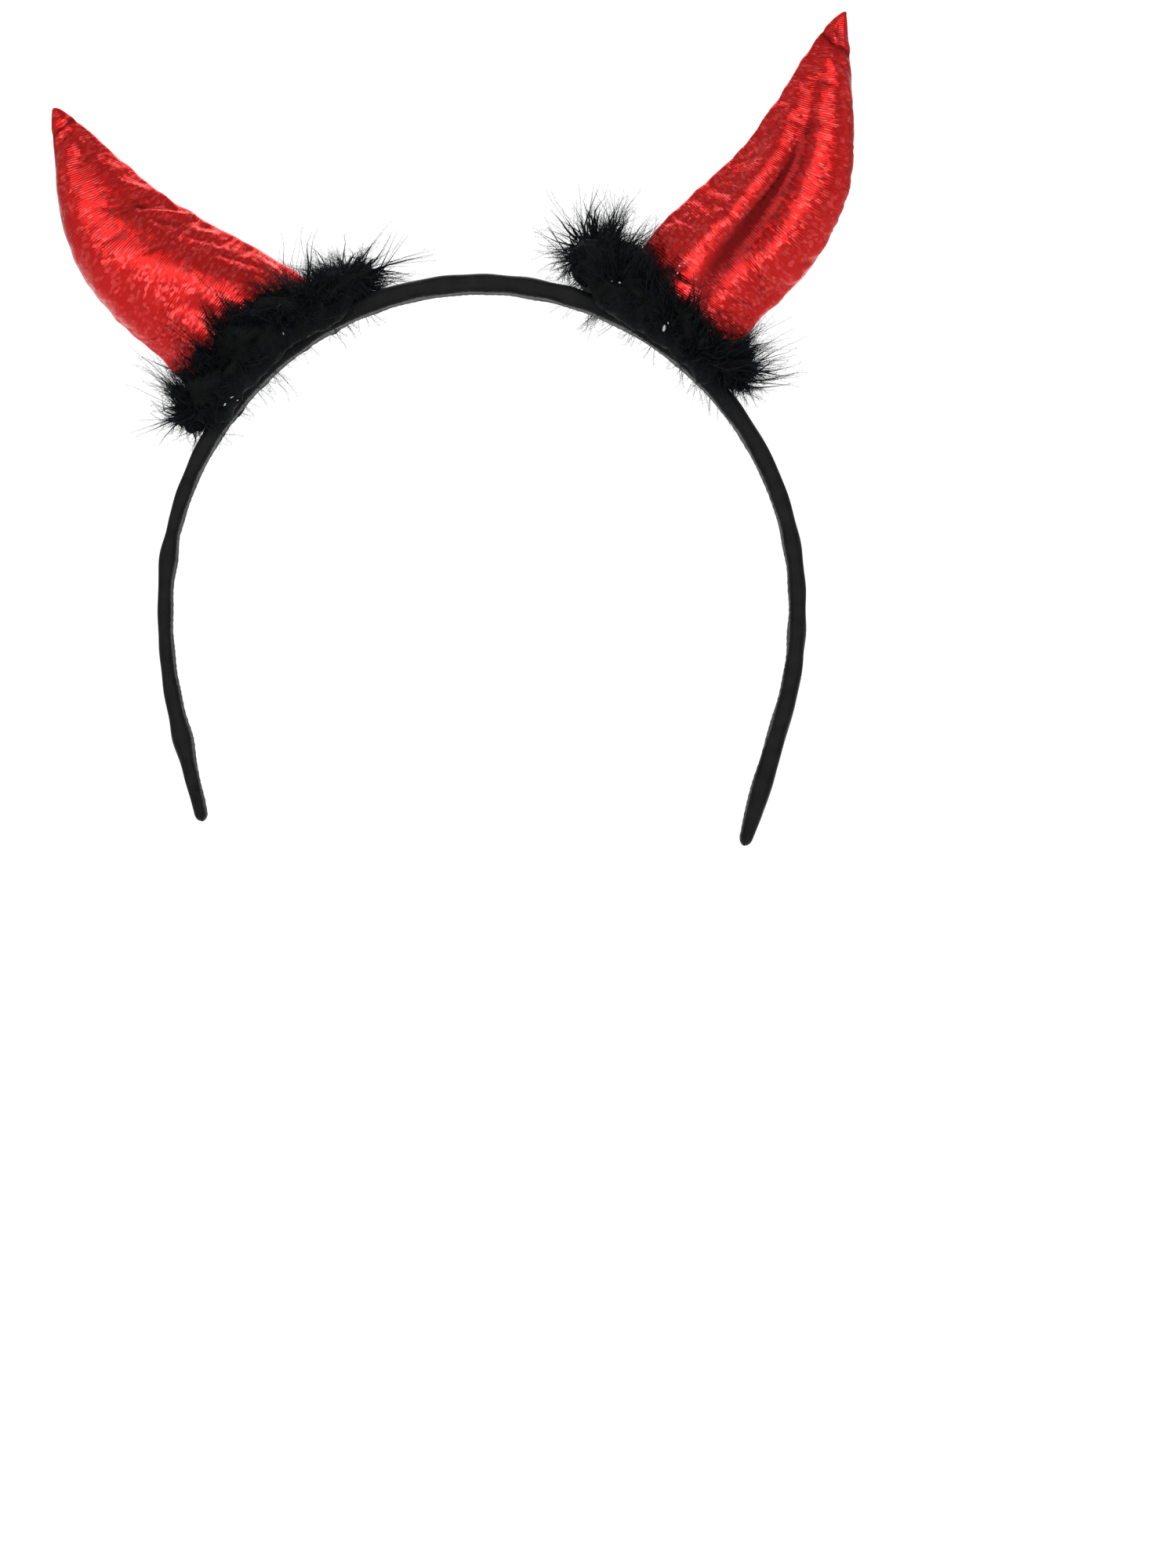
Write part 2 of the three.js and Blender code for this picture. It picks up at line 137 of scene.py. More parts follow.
def unit(vectors: Array) -> Array:
    """Vectors of length one along the given ones, kept finite where a vector has no length."""
    return vectors / np.maximum(np.linalg.norm(vectors, axis=-1, keepdims=True), 1e-12)


# Putting arrays into meshes


def fill_mesh(mesh: bpy.types.Mesh, points: Array, faces: list[Array]) -> None:
    """Puts points and faces into an empty mesh and shades it smooth.

    Args:
        mesh: The empty mesh.
        points: The vertices, one row each.
        faces: Arrays of faces, one row each, a column for each corner.
    """
    corners = np.concatenate([part.ravel() for part in faces]).astype(np.int32)
    sizes = np.concatenate([np.full(len(part), part.shape[1]) for part in faces])
    starts = np.concatenate([[0], np.cumsum(sizes)[:-1]]).astype(np.int32)
    mesh.vertices.add(len(points))
    mesh.vertices.foreach_set("co", np.asarray(points, np.float32).ravel())
    mesh.loops.add(len(corners))
    mesh.loops.foreach_set("vertex_index", corners)
    mesh.polygons.add(len(sizes))
    mesh.polygons.foreach_set("loop_start", starts)
    mesh.polygons.foreach_set("use_smooth", np.ones(len(sizes), bool))
    mesh.update(calc_edges=True)
    mesh.validate()


def add_object(name: str, mesh: bpy.types.Mesh, material: bpy.types.Material) -> bpy.types.Object:
    """Adds a mesh to the scene at the origin with one material.

    Args:
        name: The object's name.
        mesh: Its mesh, with its place in its vertices.
        material: Its finish.

    Returns:
        The new object.
    """
    mesh.materials.append(material)
    obj = bpy.data.objects.new(name, mesh)
    bpy.context.scene.collection.objects.link(obj)
    return obj


@dataclass
class Skin:
    """A closed skin of rings, each closed round, whose first and last ring are drawn in to a pole.

    The rings run clockwise as seen from the last pole, so that the faces look outwards.

    Attributes:
        rings: Points by ring and by place round it.
        poles: The first and the last pole.
        chart: Cloth coordinates by ring and by place, with one more place than a ring has so that it closes.
    """

    rings: Array
    poles: Array
    chart: Array | None = None

    def mesh(self, name: str) -> bpy.types.Mesh:
        """Builds the mesh: squares between rings and a fan at each pole, with its chart as a UV map.

        Args:
            name: The mesh's name.

        Returns:
            The closed mesh, its vertices ring by ring and then the two poles.
        """
        mesh = bpy.data.meshes.new(name)
        fill_mesh(mesh, np.concatenate([self.rings.reshape(-1, 3), self.poles]), self.faces())
        if self.chart is not None:
            self.add_chart(mesh)
        return mesh

    def faces(self) -> list[Array]:
        """The squares between the rings, the fan at the first pole and the fan at the last."""
        count, around = self.rings.shape[:2]
        place = np.arange(around)
        after = (place + 1) % around
        ring = np.arange(count - 1)[:, None] * around
        squares = np.stack([ring + place, ring + around + place, ring + around + after, ring + after], -1)
        last = (count - 1) * around
        first_fan = np.stack([np.full(around, count * around), place, after], -1)
        last_fan = np.stack([np.full(around, count * around + 1), last + after, last + place], -1)
        return [squares.reshape(-1, 4), first_fan, last_fan]

    def add_chart(self, mesh: bpy.types.Mesh) -> None:
        """Gives the mesh a UV map named cloth, corner by corner in the order of its faces."""
        around = self.rings.shape[1]
        place = np.arange(around)
        near, far = self.chart[:-1], self.chart[1:]
        squares = np.stack([near[:, place], far[:, place], far[:, place + 1], near[:, place + 1]], 2)
        first, last = self.chart[0], self.chart[-1]
        first_pole = np.broadcast_to(first.mean(0), (around, 2))
        last_pole = np.broadcast_to(last.mean(0), (around, 2))
        first_fan = np.stack([first_pole, first[place], first[place + 1]], 1)
        last_fan = np.stack([last_pole, last[place + 1], last[place]], 1)
        corners = np.concatenate([part.reshape(-1, 2) for part in (squares, first_fan, last_fan)])
        layer = mesh.uv_layers.new(name="cloth")
        layer.data.foreach_set("uv", corners.astype(np.float32).ravel())


def add_values(mesh: bpy.types.Mesh, name: str, values: Array) -> None:
    """Keeps one number for each vertex as an attribute that a material can read."""
    attribute = mesh.attributes.new(name, "FLOAT", "POINT")
    attribute.data.foreach_set("value", np.asarray(values, np.float32).ravel())


def read_points(mesh: bpy.types.Mesh) -> Array:
    """The mesh's vertices as rows."""
    points = np.empty(len(mesh.vertices) * 3, np.float32)
    mesh.vertices.foreach_get("co", points)
    return points.reshape(-1, 3).astype(float)


def read_normals(mesh: bpy.types.Mesh) -> Array:
    """The outward direction at each vertex as rows."""
    normals = np.empty(len(mesh.vertices) * 3, np.float32)
    mesh.vertex_normals.foreach_get("vector", normals)
    return normals.reshape(-1, 3).astype(float)


def write_points(mesh: bpy.types.Mesh, points: Array) -> None:
    """Moves the mesh's vertices to the given rows."""
    mesh.vertices.foreach_set("co", points.astype(np.float32).ravel())
    mesh.update()


# Finishes


class Recipe:
    """A material's nodes, added one by one and linked as they are named."""

    def __init__(self, name: str) -> None:
        """Starts an empty material.

        Args:
            name: The material's name.
        """
        self.material = bpy.data.materials.new(name)
        self.material.use_nodes = True
        self.tree = self.material.node_tree
        self.tree.nodes.clear()

    def add(self, kind: str, inputs: dict | None = None, **settings: object) -> bpy.types.Node:
        """Adds a node.

        Args:
            kind: The node's type, without the words ShaderNode.
            inputs: Values or sockets for its inputs, by name or by number.
            settings: Its other settings, by attribute.

        Returns:
            The new node.
        """
        node = self.tree.nodes.new("ShaderNode" + kind)
        for name, value in settings.items():
            setattr(node, name, value)
        for key, value in (inputs or {}).items():
            if isinstance(value, Socket):
                self.tree.links.new(value, node.inputs[key])
            else:
                node.inputs[key].default_value = value
        return node

    def math(self, operation: str, *values: object) -> Socket:
        """Adds a Math node on values or sockets and returns its result."""
        return self.add("Math", dict(enumerate(values)), operation=operation).outputs[0]

    def vector_math(self, operation: str, inputs: dict) -> Socket:
        """Adds a Vector Math node on inputs by name or by number and returns its result."""
        return self.add("VectorMath", inputs, operation=operation).outputs[0]

    def noise(self, place: Socket, pitch: float, detail: float = 2.0) -> Socket:
        """Adds soft noise whose blotches are about `pitch` metres apart and returns its value."""
        inputs = {"Vector": place, "Scale": 1 / pitch, "Detail": detail}
        return self.add("TexNoise", inputs).outputs["Fac"]

    def blend(self, share: Socket, low: object, high: object) -> Socket:
        """Adds a mix of two colours, given as numbers or sockets, by a share and returns its colour."""
        node = self.add("Mix", data_type="RGBA")
        self.tree.links.new(share, node.inputs[0])
        for socket, colour in ((node.inputs[6], low), (node.inputs[7], high)):
            if isinstance(colour, Socket):
                self.tree.links.new(colour, socket)
            else:
                socket.default_value = (*colour, 1)
        return node.outputs[2]

    def remap(self, value: Socket, low: float, high: float, to: tuple = (0, 1)) -> Socket:
        """Adds a clamped change of range and returns its result."""
        inputs = {"Value": value, "From Min": low, "From Max": high, "To Min": to[0], "To Max": to[1]}
        return self.add("MapRange", inputs).outputs["Result"]

    def bump(self, height: Socket, depth: float, strength: float = 1.0, over: object = None) -> Socket:
        """Adds a bump of `depth` metres, over another bump where one is given, and returns its normal."""
        inputs = {"Height": height, "Distance": depth, "Strength": strength}
        if over is not None:
            inputs["Normal"] = over
        return self.add("Bump", inputs).outputs["Normal"]

    def finish(self, **inputs: object) -> bpy.types.Material:
        """Adds the surface shader and the output.

        Args:
            inputs: The shader's inputs, with underscores for spaces.

        Returns:
            The finished material.
        """
        named = {name.replace("_", " "): value for name, value in inputs.items()}
        shader = self.add("BsdfPrincipled", named)
        self.add("OutputMaterial", {"Surface": shader.outputs[0]})
        return self.material


@dataclass(frozen=True)
class FoilCloth:
    """Woven cloth with a red foil face: ribs across the horn, and grains of foil that tilt at chance."""

    red: tuple = (0.245, 0.0058, 0.005)
    glint: tuple = (0.32, 0.026, 0.025)
    # Painted shade: the colour laid into the horn's sunk folds, dents and crease.
    hollow: tuple = (0.085, 0.0012, 0.0014)
    seam: tuple = (0.03, 0.002, 0.004)
    rib_pitch: float = 0.56 * MM
    rib_depth: float = 0.035 * MM
    grain: float = 0.62 * MM
    grain_stretch: tuple = (0.7, 1.0, 1.0)
    grain_tilt: float = 0.27
    edge: tuple = (0.9, 0.45, 0.45, 1)
    crinkle: float = 3.6 * MM
    crinkle_depth: float = 0.5 * MM
    roughness: tuple = (0.27, 0.34)
    metallic: float = 0.93
    film: float = 0.5
    film_index: float = 1.13

    def material(self) -> bpy.types.Material:
        """Builds the finish on the piece's own cloth chart, darker in its hollows by painted shade, and
        darker in its seams.

        Returns:
            The material.
        """
        recipe = Recipe("red_foil_cloth")
        chart = recipe.add("UVMap", uv_map="cloth").outputs["UV"]
        _, along, _ = recipe.add("SeparateXYZ", {"Vector": chart}).outputs
        stray = recipe.math("MULTIPLY", recipe.noise(chart, 6 * MM), 1.2 * MM)
        straying = recipe.math("ADD", along, stray)
        ribs = recipe.math("SINE", recipe.math("MULTIPLY", straying, math.tau / self.rib_pitch))
        crinkles = recipe.noise(chart, self.crinkle, 3.0)
        normal = recipe.bump(crinkles, self.crinkle_depth, 0.22)
        normal = recipe.bump(ribs, self.rib_depth, 0.6, normal)
        stretched = recipe.vector_math("MULTIPLY", {0: chart, 1: self.grain_stretch})
        cells = recipe.add("TexVoronoi", {"Vector": stretched, "Scale": 1 / self.grain}).outputs["Color"]
        tilt = recipe.vector_math("SUBTRACT", {0: cells, 1: (0.5, 0.5, 0.5)})
        tilt = recipe.vector_math("SCALE", {0: tilt, "Scale": self.grain_tilt})
        tilted = recipe.vector_math("ADD", {0: normal, 1: tilt})
        normal = recipe.vector_math("NORMALIZE", {0: tilted})
        hollow = recipe.add("Attribute", attribute_name="hollow").outputs["Fac"]
        seam = recipe.add("Attribute", attribute_name="seam").outputs["Fac"]
        grains = recipe.add("SeparateXYZ", {"Vector": cells}).outputs[2]
        face = recipe.blend(recipe.remap(grains, 0.6, 1.0), self.red, self.glint)
        # Painted shade darkens the face where its mask is high.
        face = recipe.blend(hollow, face, self.hollow)
        colour = recipe.blend(seam, face, self.seam)
        return recipe.finish(
            Base_Color=colour,
            Metallic=self.metallic,
            Roughness=recipe.remap(crinkles, 0.3, 0.7, self.roughness),
            Normal=normal,
            Specular_Tint=self.edge,
            Specular_IOR_Level=0.3,
            Coat_Weight=self.film,
            Coat_IOR=self.film_index,
            Coat_Roughness=0.24,
        )


@dataclass(frozen=True)
class SatinCover:
    """Black satin drawn over the strip: a fine slanting twill, soft shine and a little lint."""

    black: tuple = (0.0017, 0.0017, 0.0019)
    grey: tuple = (0.005, 0.005, 0.0054)
    twill_pitch: float = 0.34 * MM
    twill_depth: float = 0.03 * MM
    slant: float = 0.8
    rub_pitch: float = 5 * MM
    rub_depth: float = 0.3 * MM
    lint_pitch: float = 0.7 * MM
    roughness: tuple = (0.42, 0.56)

    def material(self) -> bpy.types.Material:
        """Builds the finish on the strip's own chart.

        Returns:
            The material.
        """
        recipe = Recipe("black_satin")
        chart = recipe.add("UVMap", uv_map="cloth").outputs["UV"]
        across, along, _ = recipe.add("SeparateXYZ", {"Vector": chart}).outputs
        slanted = recipe.math("MULTIPLY_ADD", across, self.slant, along)
        twill = recipe.math("SINE", recipe.math("MULTIPLY", slanted, math.tau / self.twill_pitch))
        crossing = recipe.math("SINE", recipe.math("MULTIPLY", across, math.tau / (0.8 * self.twill_pitch)))
        weave = recipe.math("MULTIPLY_ADD", twill, 0.6, recipe.math("MULTIPLY", crossing, 0.3))
        rub = recipe.noise(chart, self.rub_pitch, 4.0)
        lint = recipe.math("GREATER_THAN", recipe.noise(chart, self.lint_pitch, 1.0), 0.79)
        normal = recipe.bump(weave, self.twill_depth, 0.6, recipe.bump(rub, self.rub_depth, 0.35))
        tone = recipe.math("ADD", recipe.remap(rub, 0.35, 0.75), recipe.math("MULTIPLY", lint, 0.6))
        return recipe.finish(
            Base_Color=recipe.blend(tone, self.black, self.grey),
            Roughness=recipe.remap(rub, 0.3, 0.7, self.roughness),
            Normal=normal,
            Specular_IOR_Level=0.035,
        )


@dataclass(frozen=True)
class Down:
    """Black down: nearly no colour, with a cool soft sheen painted in along the barbs and none in the
    depths.
    """

    black: tuple = (0.0012, 0.0013, 0.0014)
    painted_sheen: tuple = (0.005, 0.0078, 0.0096)
    blotch: float = 2.5 * MM
    grain: float = 0.4 * MM
    grain_depth: float = 0.3 * MM
    roughness: tuple = (0.55, 0.75)

    def material(self) -> bpy.types.Material:
        """Builds the finish, with a painted sheen that makes each barb's tip cooler and lighter than its
        root.

        Returns:
            The material.
        """
        recipe = Recipe("black_down")
        place = recipe.add("TexCoord").outputs["Object"]
        tip = recipe.add("Attribute", attribute_name="tip").outputs["Fac"]
        blotches = recipe.noise(place, self.blotch, 3.0)
        # Painted sheen: towards each barb's tip the colour turns cool and lighter, in blotches; the heart,
        # at tip share 0, gets none.
        share = recipe.math("MULTIPLY", tip, recipe.remap(blotches, 0.3, 0.7, (0.5, 1.0)))
        return recipe.finish(
            Base_Color=recipe.blend(share, self.black, self.painted_sheen),
            Roughness=recipe.remap(blotches, 0.3, 0.7, self.roughness),
            Normal=recipe.bump(recipe.noise(place, self.grain, 3.0), self.grain_depth, 0.8),
            Specular_IOR_Level=0.04,
        )


@dataclass(frozen=True)
class ClearGlue:
    """Dried clear glue: cloudy, glossy and slightly grey."""

    cloudy: tuple = (0.34, 0.35, 0.36)
    clear: tuple = (0.12, 0.125, 0.13)
    cloud: float = 0.8 * MM
    roughness: tuple = (0.12, 0.35)

    def material(self) -> bpy.types.Material:
        """Builds the finish, cloudier in places.

        Returns:
            The material.
        """
        recipe = Recipe("clear_glue")
        place = recipe.add("TexCoord").outputs["Object"]
        clouds = recipe.noise(place, self.cloud, 2.0)
        return recipe.finish(
            Base_Color=recipe.blend(recipe.remap(clouds, 0.35, 0.65), self.clear, self.cloudy),
            Roughness=recipe.remap(clouds, 0.3, 0.7, self.roughness),
            Transmission_Weight=0.35,
        )


@dataclass(frozen=True)
class StudioFloor:
    """The pale matte floor."""

    pale: tuple = (0.95, 0.95, 0.95)
    paler: tuple = (0.96, 0.96, 0.96)

    def material(self) -> bpy.types.Material:
        """Builds the finish, faintly uneven over large areas.

        Returns:
            The material.
        """
        recipe = Recipe("pale_floor")
        place = recipe.add("TexCoord").outputs["Object"]
        return recipe.finish(
            Base_Color=recipe.blend(recipe.noise(place, 0.5, 1.0), self.pale, self.paler), Roughness=0.9
        )


# The headband strip


class Gather(NamedTuple):
    """Slack of the strip's cover: its place from left end to right, and its share of the thickness."""

    at: float
    swell: float


class Kink(NamedTuple):
    """A small rumple in the strip's cover: the distance from the crown, its half length and its height."""

    distance: float
    half_length: float
    height: float


COVER_GATHERS = [
    Gather(0.0, -0.14),
    Gather(0.02, -0.14),
    Gather(0.05, -0.14),
    Gather(0.08, -0.14),
    Gather(0.1, -0.22),
    Gather(0.14, -0.26),
    Gather(0.2, -0.23),
    Gather(0.23, -0.2),
    Gather(0.28, -0.04),
    Gather(0.36, 0.02),
    Gather(0.5, 0.02),
    Gather(0.68, 0.0),
    Gather(0.78, -0.1),
    Gather(0.86, -0.1),
    Gather(0.92, -0.04),
    Gather(0.95, -0.04),
    Gather(0.98, -0.04),
    Gather(1.0, -0.04),
]

COVER_KINKS = [
    Kink(-112 * MM, 4 * MM, 0.5 * MM),
    Kink(-106 * MM, 3 * MM, -0.3 * MM),
    Kink(-158 * MM, 4 * MM, 0.45 * MM),
    Kink(-166 * MM, 5 * MM, -0.3 * MM),
    Kink(-181 * MM, 4 * MM, 0.3 * MM),
    Kink(172 * MM, 7 * MM, 0.18 * MM),
]


@dataclass(frozen=True)
class Arm:
    """One arm of the strip: half the span at its widest, its bend inwards and its straight grip."""

    half_span: float
    bend_radius: float
    bend_angle: float
    grip: float


@dataclass
class StripRoute:
    """The strip's centre line, crown in the middle, and the size of the strip along it."""

    thickness: float = 4.3 * MM
    width: float = 9.6 * MM
    crowning: float = 0.45 * MM
    edge_radius: float = 1.3 * MM
    crown_height: float = 79.2 * MM
    upright: float = 3 * MM
    taper_length: float = 13 * MM
    tapered_share: float = 0.68
    end_rounding: float = 2.2 * MM
    left: Arm = Arm(78.1 * MM, 107 * MM, 13.5, 27 * MM)
    right: Arm = Arm(78.8 * MM, 87 * MM, 16.5, 34 * MM)

    def __post_init__(self) -> None:
        """Draws both arms' lines and joins them at the crown, left end first."""
        left_x, left_z = self.arm_line(self.left)
        right_x, right_z = self.arm_line(self.right)
        self.x = np.concatenate([-left_x[:0:-1], right_x])
        self.z = np.concatenate([left_z[:0:-1], right_z])
        steps = np.hypot(np.diff(self.x), np.diff(self.z))
        self.distances = np.concatenate([[0], np.cumsum(steps)])
        self.left_length = self.distances[len(left_x) - 1]
        self.length = self.distances[-1]
        self.distances = self.distances - self.left_length
        self.right_length = self.distances[-1]

    def arm_line(self, arm: Arm) -> tuple[Array, Array]:
        """One arm's line, drawn as the right one, from the crown down: ellipse, upright, bend and grip.

        Args:
            arm: The arm's sizes.

        Returns:
            The line's x and z, close together.
        """
        widest = self.thickness / 2 - self.crown_height
        turn = np.linspace(math.pi / 2, 0, 1200)
        bend = -np.linspace(0, math.radians(arm.bend_angle), 120)[1:]
        middle = arm.half_span - arm.bend_radius
        bend_x = middle + arm.bend_radius * np.cos(bend)
        bend_z = widest - self.upright + arm.bend_radius * np.sin(bend)
        grip = np.linspace(0, arm.grip, 60)[1:]
        x = [arm.half_span * np.cos(turn), bend_x, bend_x[-1] + grip * math.sin(bend[-1])]
        z = [widest + self.crown_height * np.sin(turn), bend_z, bend_z[-1] - grip * math.cos(bend[-1])]
        return np.concatenate(x), np.concatenate(z)

    def at(self, distance: Array) -> tuple[Array, Array]:
        """The centre and the outward direction at distances from the crown, negative down the left arm.

        Args:
            distance: Distances along the strip.

        Returns:
            The centres and the outward unit vectors, one row for each distance.
        """
        ends = (-self.left_length, self.right_length)
        here = np.clip(distance, *ends)
        near, far = np.clip(here - 0.4 * MM, *ends), np.clip(here + 0.4 * MM, *ends)
        run = np.stack([self.line(far)[0] - self.line(near)[0], self.line(far)[1] - self.line(near)[1]], -1)
        run = unit(run)
        x, z = self.line(here)
        nothing = np.zeros_like(x)
        return np.stack([x, nothing, z], -1), np.stack([-run[..., 1], nothing, run[..., 0]], -1)

    def line(self, distance: Array) -> tuple[Array, Array]:
        """The centre line's x and z at distances from the crown."""
        return np.interp(distance, self.distances, self.x), np.interp(distance, self.distances, self.z)

    def swell(self, distance: Array) -> Array:
        """How much thicker or thinner the slack cover makes the strip at distances from the crown."""
        table = np.array(COVER_GATHERS)
        return 1 + read_table((distance + self.left_length) / self.length, table[:, 0], table[:, 1])

    def share(self, distance: Array) -> Array:
        """The strip's share of its full section: tapered over the grips and rounded at the ends."""
        arm = np.where(distance < 0, self.left_length, self.right_length)
        from_end = np.clip(arm - np.abs(distance), 0, None)
        taper = self.tapered_share + (1 - self.tapered_share) * smooth_step(from_end, 0, self.taper_length)
        return taper * np.sqrt(1 - (1 - np.clip(from_end / self.end_rounding, 0, 1)) ** 2)

    def lift(self, points: Array, clearance: float) -> Array:
        """Raises points that lie in the strip, or nearer to it than a clearance, off its outer face.

        Args:
            points: Points in the model's frame.
            clearance: The least height over the outer face.

        Returns:
            The points, moved where they had to be.
        """
        flat = points.reshape(-1, 3)
        over = np.flatnonzero(np.abs(flat[:, 1]) < self.width / 2 + 0.2 * MM)
        spots = np.linspace(-self.left_length, self.right_length, 500)
        x, z = self.line(spots)
        gaps = (flat[over, 0, None] - x) ** 2 + (flat[over, 2, None] - z) ** 2
        centre, outward = self.at(spots[gaps.argmin(1)])
        height = np.sum((flat[over] - centre) * outward, -1)
        least = self.thickness / 2 + self.crowning + clearance
        rise = np.where((height < least) & (height > -self.thickness), least - height, 0)
        lifted = flat.copy()
        lifted[over] += outward * rise[:, None]
        return lifted.reshape(points.shape)

    def on_top(self, distance: Array, across: Array, above: Array) -> Array:
        """Points over the strip's outer face.

        Args:
            distance: Distances from the crown.
            across: Places across the strip, along Y.
            above: Heights over the outer face's ridge.

        Returns:
            The points, in the shape of the three.
        """
        distance, across, above = np.broadcast_arrays(distance, across, above)
        centre, outward = self.at(distance)
        share = self.share(distance) * self.swell(distance)
        level = (self.thickness / 2 + self.crowning) * share + above
        points = centre + outward * level[..., None]
        points[..., 1] = across
        return points


@dataclass
class HeadbandStrip:
    """The cloth-covered strip, its cover lapped and gathered along the inner face."""

    route: StripRoute
    steps: int = 520
    corner_steps: int = 6
    flat_steps: int = 5
    rumple: float = 0.1 * MM
    gather_pitch: float = 1.7 * MM
    gather_depth: float = 0.13 * MM
    lap_place: float = 1.4 * MM
    lap_height: float = 0.22 * MM

    def section(self) -> tuple[Array, Array, Array, Array]:
        """The section's places in order round the strip, each as a corner it belongs to and a turn about it.

        Returns:
            The corner's side across and outwards, from -1 to 1, and the turn's share across and outwards.
        """
        turn = np.linspace(0, math.pi / 2, self.corner_steps)
        slide = np.linspace(1, -1, self.flat_steps + 2)[1:-1]
        quarters = []
        for quarter, (across, outward) in enumerate([(1, 1), (1, -1), (-1, -1), (-1, 1)]):
            angle = quarter * math.pi / 2 + turn
            corner = [np.full_like(turn, across), np.full_like(turn, outward), np.sin(angle), np.cos(angle)]
            still = np.ones_like(slide)
            if quarter % 2:
                flat = [slide * across, still * outward, 0 * still, still * outward]
            else:
                flat = [still * across, slide * outward, still * across, 0 * still]
            quarters += [np.stack(corner), np.stack(flat)]
        return tuple(np.concatenate(quarters, axis=1))

    def build(self, finish: SatinCover) -> bpy.types.Object:
        """Builds the cover as a rounded section carried along the route, with its laps, gathers and kinks.

        Args:
            finish: The cover's finish.

        Returns:
            The strip's object.
        """
        route = self.route
        eased = (1 - np.cos(np.linspace(0, math.pi, self.steps))) / 2
        even = np.linspace(0, 1, self.steps)
        distance = (0.35 * eased + 0.65 * even) * route.length - route.left_length
        distance = np.clip(distance, 0.03 * MM - route.left_length, route.right_length - 0.03 * MM)[:, None]
        corner_y, corner_level, turn_y, turn_level = self.section()
        share = route.share(distance)
        half_width = route.width / 2 * share
        half_thick = route.thickness / 2 * share * route.swell(distance)
        edge = np.minimum(route.edge_radius, np.minimum(half_width, half_thick))
        y = corner_y * (half_width - edge) + turn_y * edge
        level = corner_level * (half_thick - edge) + turn_level * edge
        from_edge = 1 - (y / np.maximum(half_width, route.edge_radius)) ** 2
        crown = route.crowning * share * route.swell(distance) * from_edge
        level = level + np.where(turn_level > 0.5, crown, 0) + self.slack(distance, y, level, share)
        centre, outward = route.at(distance[:, 0])
        points = centre[:, None] + outward[:, None] * level[..., None]
        points[..., 1] = y
        steps = np.linalg.norm(np.diff(points, axis=1, append=points[:, :1]), axis=-1).mean(0)
        around = np.concatenate([[0], np.cumsum(steps)])
        chart = np.stack(np.broadcast_arrays(around[None], distance), -1)
        poles = np.stack([points[0].mean(0), points[-1].mean(0)])
        mesh = Skin(points, poles, chart).mesh("strip_cover")
        obj = add_object("strip_cover", mesh, finish.material())
        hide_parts("headband_strip")
        return obj

    def slack(self, distance: Array, y: Array, level: Array, share: Array) -> Array:
        """How far the cover stands off the strip: rumples, kinks, and a lap with gathers on the inner face.

        Args:
            distance: Distances from the crown.
            y: Places across the strip.
            level: Places through its thickness, positive outwards.
            share: The strip's share of its full section.

        Returns:
            The extra height along the outward direction.
        """
        side = np.tanh(level / (0.6 * MM))
        rumple = self.rumple * waves(distance, y, 9 * MM, seed=4) * side
        kinks = np.zeros_like(distance)
        for kink in COVER_KINKS:
            kinks += kink.height * np.exp(-(((distance - kink.distance) / kink.half_length) ** 2))
        inner = smooth_step(-level, 0.3 * MM, 1.2 * MM)
        wander = distance + 0.5 * MM * waves(distance, 0 * distance, 7 * MM, seed=8)
        gathers = self.gather_depth * np.abs(np.sin(math.pi * wander / self.gather_pitch)) * inner
        lap = self.lap_height * smooth_step(y - self.lap_place, -0.25 * MM, 0.25 * MM) * inner
        lap = lap * smooth_step(4.2 * MM - y, 0, 2 * MM)
        return share * (rumple + kinks * side + gathers - lap)


# The stuffed horns


class Section(NamedTuple):
    """A level section of a horn, from foot to tip.

    `rise` is a share of the length. `crown` and `arm` are how far its edges reach from the foot's middle
    towards the crown and down the arm, as shares of the width. `depth` is a share of the depth.
    """

    rise: float
    crown: float
    arm: float
    depth: float


class Dent(NamedTuple):
    """A hollow in a panel.

    `along` and `across` place its middle, as shares of the length and of the half width, 1 at the right
    edge. `run` and `spread` are its half length and half breadth in the same shares, `slant` is how far
    `across` moves over one `run`, and `sink` is a share of the half depth.
    """

    face: Face
    along: float
    across: float
    run: float
    spread: float
    slant: float
    sink: float


class Fold(NamedTuple):
    """A narrow raised or sunk fold in a panel.

    `along` and `across` place its middle as in a dent. `heading` is its direction on the panel, in degrees
    up from the right. `half_length`, `half_breadth` and `height` are in millimetres, and the height is
    negative where the fold is sunk.
    """

    face: Face
    along: float
    across: float
    heading: float
    half_length: float
    half_breadth: float
    height: float


LEFT_SECTIONS = [
    Section(0.0, 0.37, 0.5, 0.5),
    Section(0.09, 0.45, 0.585, 0.78),
    Section(0.2, 0.395, 0.612, 0.95),
    Section(0.3, 0.315, 0.645, 1.0),
    Section(0.4, 0.228, 0.67, 0.99),
    Section(0.5, 0.15, 0.666, 0.94),
    Section(0.6, 0.083, 0.63, 0.84),
    Section(0.7, 0.048, 0.555, 0.71),
    Section(0.8, 0.012, 0.432, 0.54),
    Section(0.87, -0.005, 0.325, 0.38),
    Section(0.92, -0.025, 0.252, 0.2),
    Section(0.96, -0.048, 0.19, 0.19),
    Section(1.0, -0.07, 0.125, 0.1),
]

RIGHT_SECTIONS = [
    Section(0.0, 0.47, 0.29, 0.52),
    Section(0.09, 0.59, 0.335, 0.8),
    Section(0.18, 0.638, 0.352, 0.94),
    Section(0.27, 0.615, 0.375, 1.0),
    Section(0.36, 0.577, 0.403, 1.0),
    Section(0.43, 0.545, 0.392, 0.96),
    Section(0.5, 0.515, 0.354, 0.92),
    Section(0.6, 0.502, 0.278, 0.82),
    Section(0.7, 0.513, 0.145, 0.68),
    Section(0.8, 0.542, -0.04, 0.51),
    Section(0.88, 0.56, -0.215, 0.35),
    Section(0.93, 0.563, -0.328, 0.2),
    Section(0.965, 0.556, -0.415, 0.19),
    Section(1.0, 0.542, -0.487, 0.1),
]

